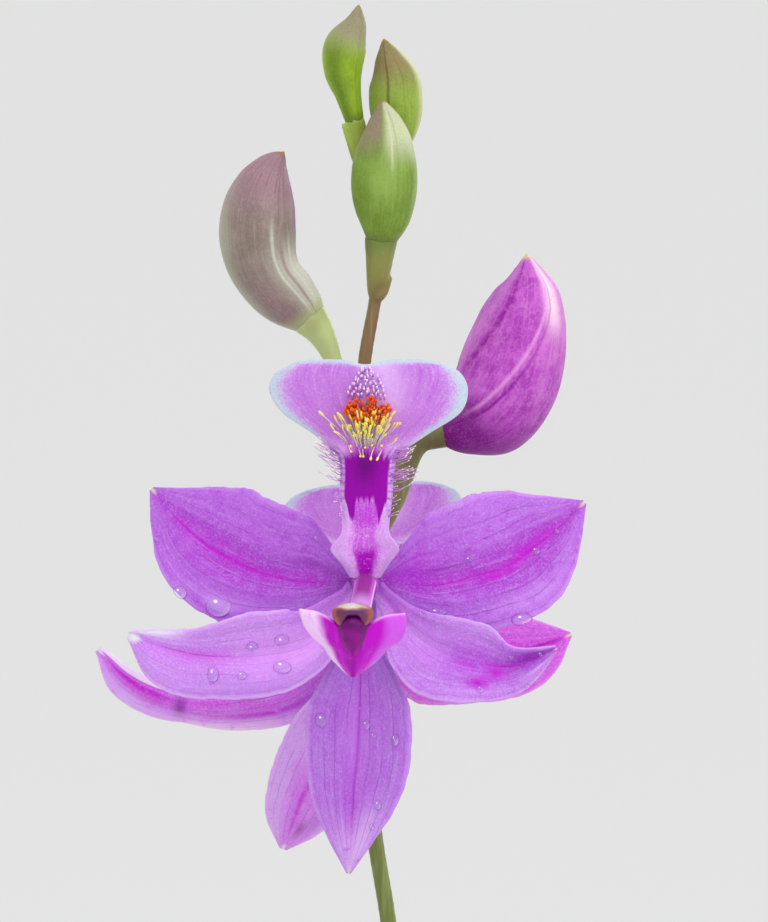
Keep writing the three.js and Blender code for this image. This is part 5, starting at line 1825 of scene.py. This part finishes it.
CRUMBS_FROM, CRUMBS_TO = 4.1, SOIL_EDGE - 1.3


def scatter(name, material, count, sizes, seed):
    """One piece with a count of crumbs between two sizes, in mm."""
    draw = random.Random(seed)
    ball = bmesh.new()
    bmesh.ops.create_icosphere(ball, subdivisions=1, radius=1)
    crumb = pattern(ball)
    bm = bmesh.new()
    for _ in range(count):
        r = CRUMBS_FROM + (CRUMBS_TO - CRUMBS_FROM) * draw.random() ** 0.6
        angle = draw.uniform(0, 2 * math.pi)
        x, y = r * math.cos(angle), r * math.sin(angle)
        size = draw.uniform(*sizes) * draw.uniform(0.6, 1)
        spot = Vector((x, y, soil_height(r) + crumbling(x, y) + 0.25 * size))
        squash = Vector([draw.uniform(0.7, 1.2) for _ in range(3)])
        for corner in add_copy(bm, crumb):
            uneven = 1 + draw.uniform(-0.22, 0.22)
            corner.co = (spot + corner.co * squash * size * uneven) * MM
    bpy.data.meshes.remove(crumb)
    return dress(piece_from(bm, name), material, "peat", "potting_mix")


sand = soil_finish("sand", hue(150, 132, 104), hue(184, 168, 138), hue(216, 204, 180))
bark = soil_finish("bark", hue(58, 38, 26), hue(92, 62, 42), hue(130, 96, 66))
scatter("potting_mix_crumbs", peat, count=1500, sizes=(0.45, 1.3), seed=5)
scatter("potting_mix_fibre", bark, count=260, sizes=(0.7, 1.7), seed=8)
scatter("potting_mix_sand", sand, count=380, sizes=(0.25, 0.6), seed=13)

# %% [markdown]
# ## Water drops
#
# Rain has left drops on the petals. Each of the larger ones stands where a line from the eye
# through its place in the picture meets a petal, and its underside follows that petal's surface.
# Smaller drops are scattered on both flowers by a seeded draw.

# %% Find the petals again
def surface_tree(piece):
    mesh = piece.data
    return BVHTree.FromPolygons([v.co for v in mesh.vertices], [p.vertices for p in mesh.polygons])


trees = {key: surface_tree(piece) for key, piece in blades.items()}


def first_hit(px, py):
    """The nearest petal on the line through a pixel: (tree, place, normal towards the eye)."""
    ray = ray_through(px, py)
    found = []
    for key, tree in trees.items():
        place, normal, _, distance = tree.ray_cast(EYE * MM, ray)
        if place is not None:
            found.append((distance, key, place, normal if normal.dot(ray) < 0 else -normal))
    return min(found, key=lambda hit: hit[0])[1:]


# %% Shape a drop
SKIN, SUNK = 0.28, 0.05
UNDERSIDE, PLUMB = 0.12, 0.6


def drop_pattern(around, rounds):
    """A unit ball whose run map is its plan, so that a finish can find the rim of a drop."""
    bm = bmesh.new()
    bmesh.ops.create_uvsphere(bm, u_segments=around, v_segments=rounds, radius=1)
    run = bm.loops.layers.uv.new("run")
    for face in bm.faces:
        face.smooth = True
        for loop in face.loops:
            loop[run].uv = ((loop.vert.co.x + 1) / 2, (loop.vert.co.y + 1) / 2)
    return pattern(bm)


def add_drop(bm, ball, tree, place, normal, wide, tall, high):
    """A drop on a petal: wide and tall across it and high above it, in mm. It rests on the petal's
    skin, a little sunk, and keeps a share of its own plan where the petal curves away."""
    side = RIGHT.cross(normal).cross(normal).normalized() * -1
    up = normal.cross(side)
    for corner in add_copy(bm, ball):
        x, y, z = corner.co
        flat = place + (side * x * wide + up * y * tall) * MM / 2
        near, found, _, _ = tree.find_nearest(flat)
        outward = found if found.dot(normal) > 0 else -found
        rise = z * (high if z > 0 else UNDERSIDE)
        corner.co = near + (flat - near) * PLUMB + outward * (SKIN - SUNK + rise) * MM


# %% [markdown]
# A drop is given by its middle, width and height in the picture, in pixels, and by how far it
# stands out, in mm. The widest one is a shallow film of water.

# %% Lay the drops
DROPS = [
    (252, 645, 12, 10, 0.45), (281, 639, 15, 11, 0.5), (213, 675, 12, 17, 0.6),
    (242, 676, 10, 9, 0.4), (282, 668, 19, 12, 0.5), (180, 593, 15, 14, 0.35),
    (219, 606, 28, 24, 0.12), (536, 551, 9, 8, 0.4), (468, 558, 9, 8, 0.35),
    (437, 612, 21, 9, 0.35), (522, 620, 22, 15, 0.4), (320, 720, 12, 15, 0.45),
    (367, 725, 9, 11, 0.4), (396, 740, 8, 14, 0.4), (378, 805, 9, 11, 0.4), (372, 827, 6, 7, 0.3),
    (557, 531, 6, 6, 0.3), (480, 690, 8, 8, 0.35),
]
DROP_SEED, SMALL_DROPS, SMALL_SIZES = 31, 9, (0.25, 0.55)

bm = bmesh.new()
large, small = drop_pattern(24, 14), drop_pattern(10, 6)
for px, py, wide, tall, high in DROPS:
    key, place, normal = first_hit(px, py)
    add_drop(bm, large, trees[key], place, normal, wide * PIXEL, tall * PIXEL, high)
draw = random.Random(DROP_SEED)
for key, piece in blades.items():
    facing = Vector((0, FLOWERS[key[0]]["facing"], 0))
    for _ in range(SMALL_DROPS):
        polygon = piece.data.polygons[draw.randrange(len(piece.data.polygons))]
        normal = polygon.normal if polygon.normal.dot(facing) > 0 else -polygon.normal
        size = draw.uniform(*SMALL_SIZES)
        add_drop(bm, small, trees[key], polygon.center.copy(), normal.copy(), size, size,
                 size * 0.35)
for mesh in (large, small):
    bpy.data.meshes.remove(mesh)
drops = piece_from(bm, "water_drops")

# %% [markdown]
# Water is clear, so a drop shows the petal beneath it, a bright spark of the sky and a thin dark
# rim. Real refraction is slow and turns noisy in so small a body. A thin coat that is nearly
# clear in the middle and stronger along the rim looks the same from a step away. Its colours are
# painted light: a painted reflection of the sky, lighter towards one side, a painted dark rim and
# a painted highlight at a fixed spot.


# %% Water finish
def water_finish(name):
    f = Finish(name, {"Roughness": 0.05, "IOR": 1.33, "Specular IOR Level": 0.5})
    u, v = f.run()
    x = u * 2 - 1
    out = f.sum("SQRT", x * x + v * v)
    # A painted dark rim round the drop.
    rim = f.smooth(out, 0.78, 0.95)
    # A painted highlight at a fixed spot on the drop.
    painted_highlight = f.fade(f.sum("SQRT", (x + 0.25) ** 2 + (v - 0.35) ** 2), 0.1, 0.22)
    # The drop is painted lighter towards one side: painted light.
    light = f.smooth(v * -1 + x, 0.2, 1.2)
    colour = f.layers(hue(214, 186, 242), (hue(240, 226, 250), light), (hue(170, 50, 204), rim),
                      (hue(255, 252, 255), painted_highlight))
    # The painted light, rim and highlight also set how much of the coat shows.
    alpha = 0.12 + light * 0.26 + rim * 0.24 + painted_highlight * 0.7
    f.feed(f.shader.inputs["Alpha"], alpha)
    return f.done(colour)


dress(drops, water_finish("water"), "tepal")

# %% [markdown]
# ## The stage
#
# A plain pale floor runs far enough to fill the view behind the plant. Soft area lights stand in
# for an overcast sky: a broad one above and in front, a weaker one at the side, and one behind
# that shines through the petals. None of them is seen by the camera.

# %% Floor and lights
FLOOR_REACH = 100

bm = bmesh.new()
bmesh.ops.create_grid(bm, x_segments=1, y_segments=1, size=FLOOR_REACH)
floor = piece_from(bm, "floor", closed=False)
floor_finish = Finish("floor", {"Roughness": 0.9, "Specular IOR Level": 0.1})
floor.data.materials.append(floor_finish.done(hue(238, 239, 238)))


def lamp(name, place, aim, size, power):
    """A round white area light, in metres and watts, that the camera doesn't see."""
    light = bpy.data.lights.new(name, "AREA")
    light.shape, light.size, light.energy = "DISK", size, power
    holder = bpy.data.objects.new(name, light)
    bpy.context.scene.collection.objects.link(holder)
    holder.location = place
    holder.rotation_euler = (Vector(aim) - Vector(place)).to_track_quat("-Z", "Y").to_euler()
    holder.visible_camera = False


MIDDLE = (0, 0, 0.22)
lamp("sky", (0.1, -0.55, 1.1), MIDDLE, 0.9, 4.8)
lamp("side", (1.1, -0.7, 0.6), MIDDLE, 0.8, 2.4)
lamp("behind", (0.5, 1.0, 0.7), MIDDLE, 0.8, 3)

world = bpy.data.worlds.new("pale sky")
bpy.context.scene.world = world
world.use_nodes = True
sky = world.node_tree.nodes["Background"].inputs
sky["Color"].default_value = (1, 1, 1, 1)
sky["Strength"].default_value = 0.88
bpy.context.scene.view_settings.view_transform = "Standard"
